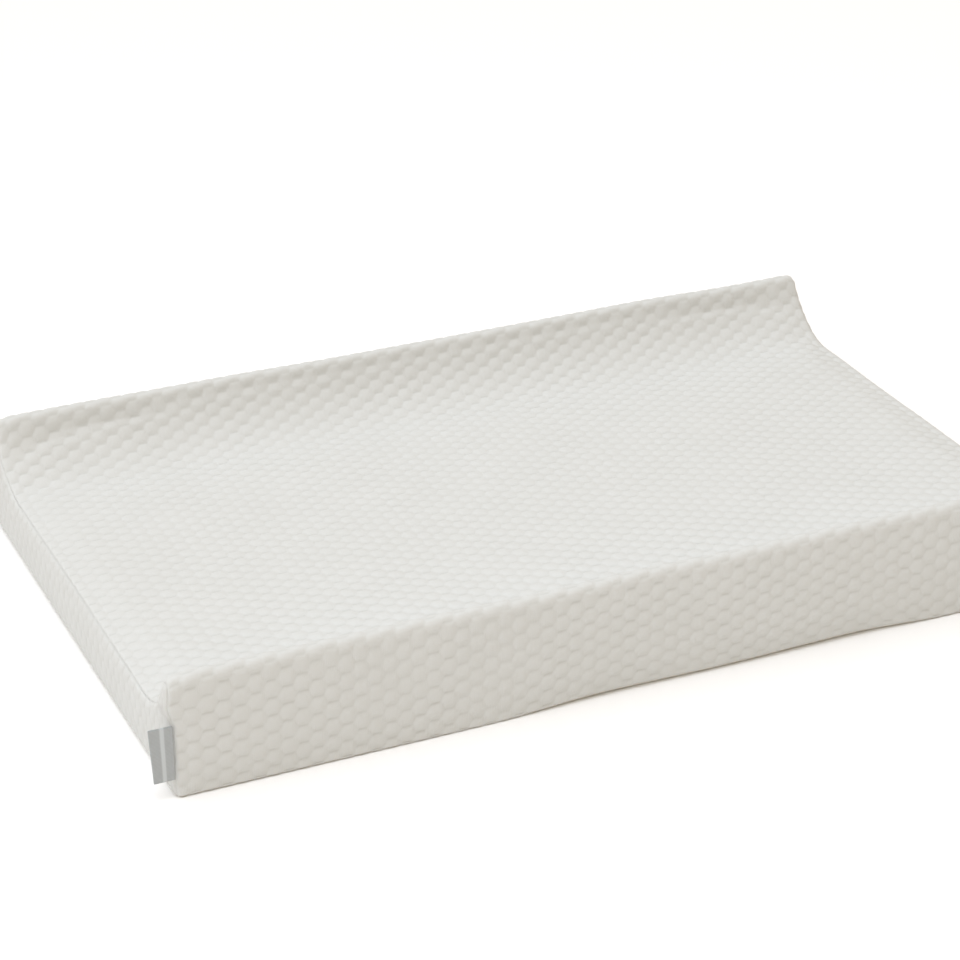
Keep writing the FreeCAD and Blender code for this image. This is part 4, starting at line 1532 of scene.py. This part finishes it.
@dataclass
class Studio:
    """A plain pale floor, soft light and the camera."""

    location: tuple[float, float, float] = (-0.823, -1.740, 1.030)
    towards: tuple[float, float, float] = (0.3674, 0.8145, -0.4489)
    lens: float = 105.3
    bright_side: tuple[float, float, float] = (-0.26, 0.06, 0.965)
    bright: tuple[float, float, float] = (1.27, 1.28, 1.30)
    dim: tuple[float, float, float] = (0.29, 0.16, 0.0)
    dim_at: float = 0.18             # how far towards the bright side the sky is still dim
    bright_at: float = 0.84          # and from where on it is fully bright

    def hang(self, name: str, data: bpy.types.ID, place: tuple[float, float, float],
             towards: Vector) -> bpy.types.Object:
        """Put a camera or a light in its place.

        Args:
            name: the object's name.
            data: the camera or the light.
            place: where it is.
            towards: the way that it looks.

        Returns:
            The object.
        """
        thing = bpy.data.objects.new(name, data)
        thing.location = place
        thing.rotation_mode = "QUATERNION"
        thing.rotation_quaternion = towards.to_track_quat("-Z", "Y")
        bpy.context.scene.collection.objects.link(thing)
        return thing

    def camera(self) -> None:
        """Set up the camera."""
        data = bpy.data.cameras.new("camera")
        data.lens, data.sensor_width = self.lens, 36.0
        data.clip_start, data.clip_end = 0.05, 50.0
        bpy.context.scene.camera = self.hang("camera", data, self.location, Vector(self.towards))

    def area(self, name: str, place: tuple[float, float, float], size: float, watts: float,
             colour: str) -> None:
        """Hang a soft square light that faces the pad.

        Args:
            name: the light's name.
            place: where it hangs.
            size: the side of its square.
            watts: its power.
            colour: its colour.
        """
        data = bpy.data.lights.new(name, "AREA")
        data.shape, data.size, data.energy = "SQUARE", size, watts
        data.color = linear(colour)[:3]
        self.hang(name, data, place, -Vector(place))

    def floor(self) -> None:
        """Lay the pale floor."""
        bm = bmesh.new()
        bmesh.ops.create_grid(bm, x_segments=1, y_segments=1, size=40.0)
        bmesh.ops.translate(bm, verts=bm.verts[:], vec=(0, 0, -0.0003))
        piece = new_object("studio_floor", mesh_from(bm, "studio_floor"), smooth=False)
        material = bpy.data.materials.new("floor_paper")
        material.use_nodes = True
        shader = material.node_tree.nodes["Principled BSDF"]
        shader.inputs["Base Color"].default_value = linear("#ffffff")
        shader.inputs["Roughness"].default_value = 0.95
        dress(piece, material)

    def sky(self) -> None:
        """Light the room: bright and cool overhead, dim and warm low down."""
        world = bpy.data.worlds.new("studio_sky")
        world.use_nodes = True
        tree = world.node_tree
        where = add_node(tree, "ShaderNodeTexCoord").outputs["Generated"]
        facing = add_node(tree, "ShaderNodeVectorMath",
                          {0: where, 1: tuple(Vector(self.bright_side).normalized())},
                          {"operation": "DOT_PRODUCT"}).outputs["Value"]
        share = add_node(tree, "ShaderNodeMapRange", {0: facing, 1: self.dim_at, 2: self.bright_at},
                         {"interpolation_type": "SMOOTHSTEP"}).outputs[0]
        colour = add_node(tree, "ShaderNodeMix", {0: share, 6: (*self.dim, 1), 7: (*self.bright, 1)},
                          {"data_type": "RGBA"}).outputs[2]
        # The room behind the floor's far edge is seen as plain white paper.
        seen = add_node(tree, "ShaderNodeLightPath").outputs["Is Camera Ray"]
        shown = add_node(tree, "ShaderNodeMix", {0: seen, 6: colour, 7: (1.0, 1.0, 1.0, 1.0)},
                         {"data_type": "RGBA"}).outputs[2]
        tree.links.new(shown, tree.nodes["Background"].inputs["Color"])
        bpy.context.scene.world = world

    def build(self) -> None:
        """Make the studio."""
        bpy.context.scene.view_settings.view_transform = "Standard"
        self.sky()
        self.area("window", (-0.8, -0.9, 2.6), 1.2, 20.0, "#fbfcff")
        self.floor()
        self.camera()


def main() -> None:
    """Build the pad in order and report each piece."""
    logging.basicConfig(level=logging.INFO, format="%(name)s: %(message)s")
    Studio().build()
    Inside().build()
    for part in (Cover(), Zip(), Ribbons()):
        for piece in part.build():
            LOG.info("made %s", piece.name)


if __name__ == "__main__":
    main()
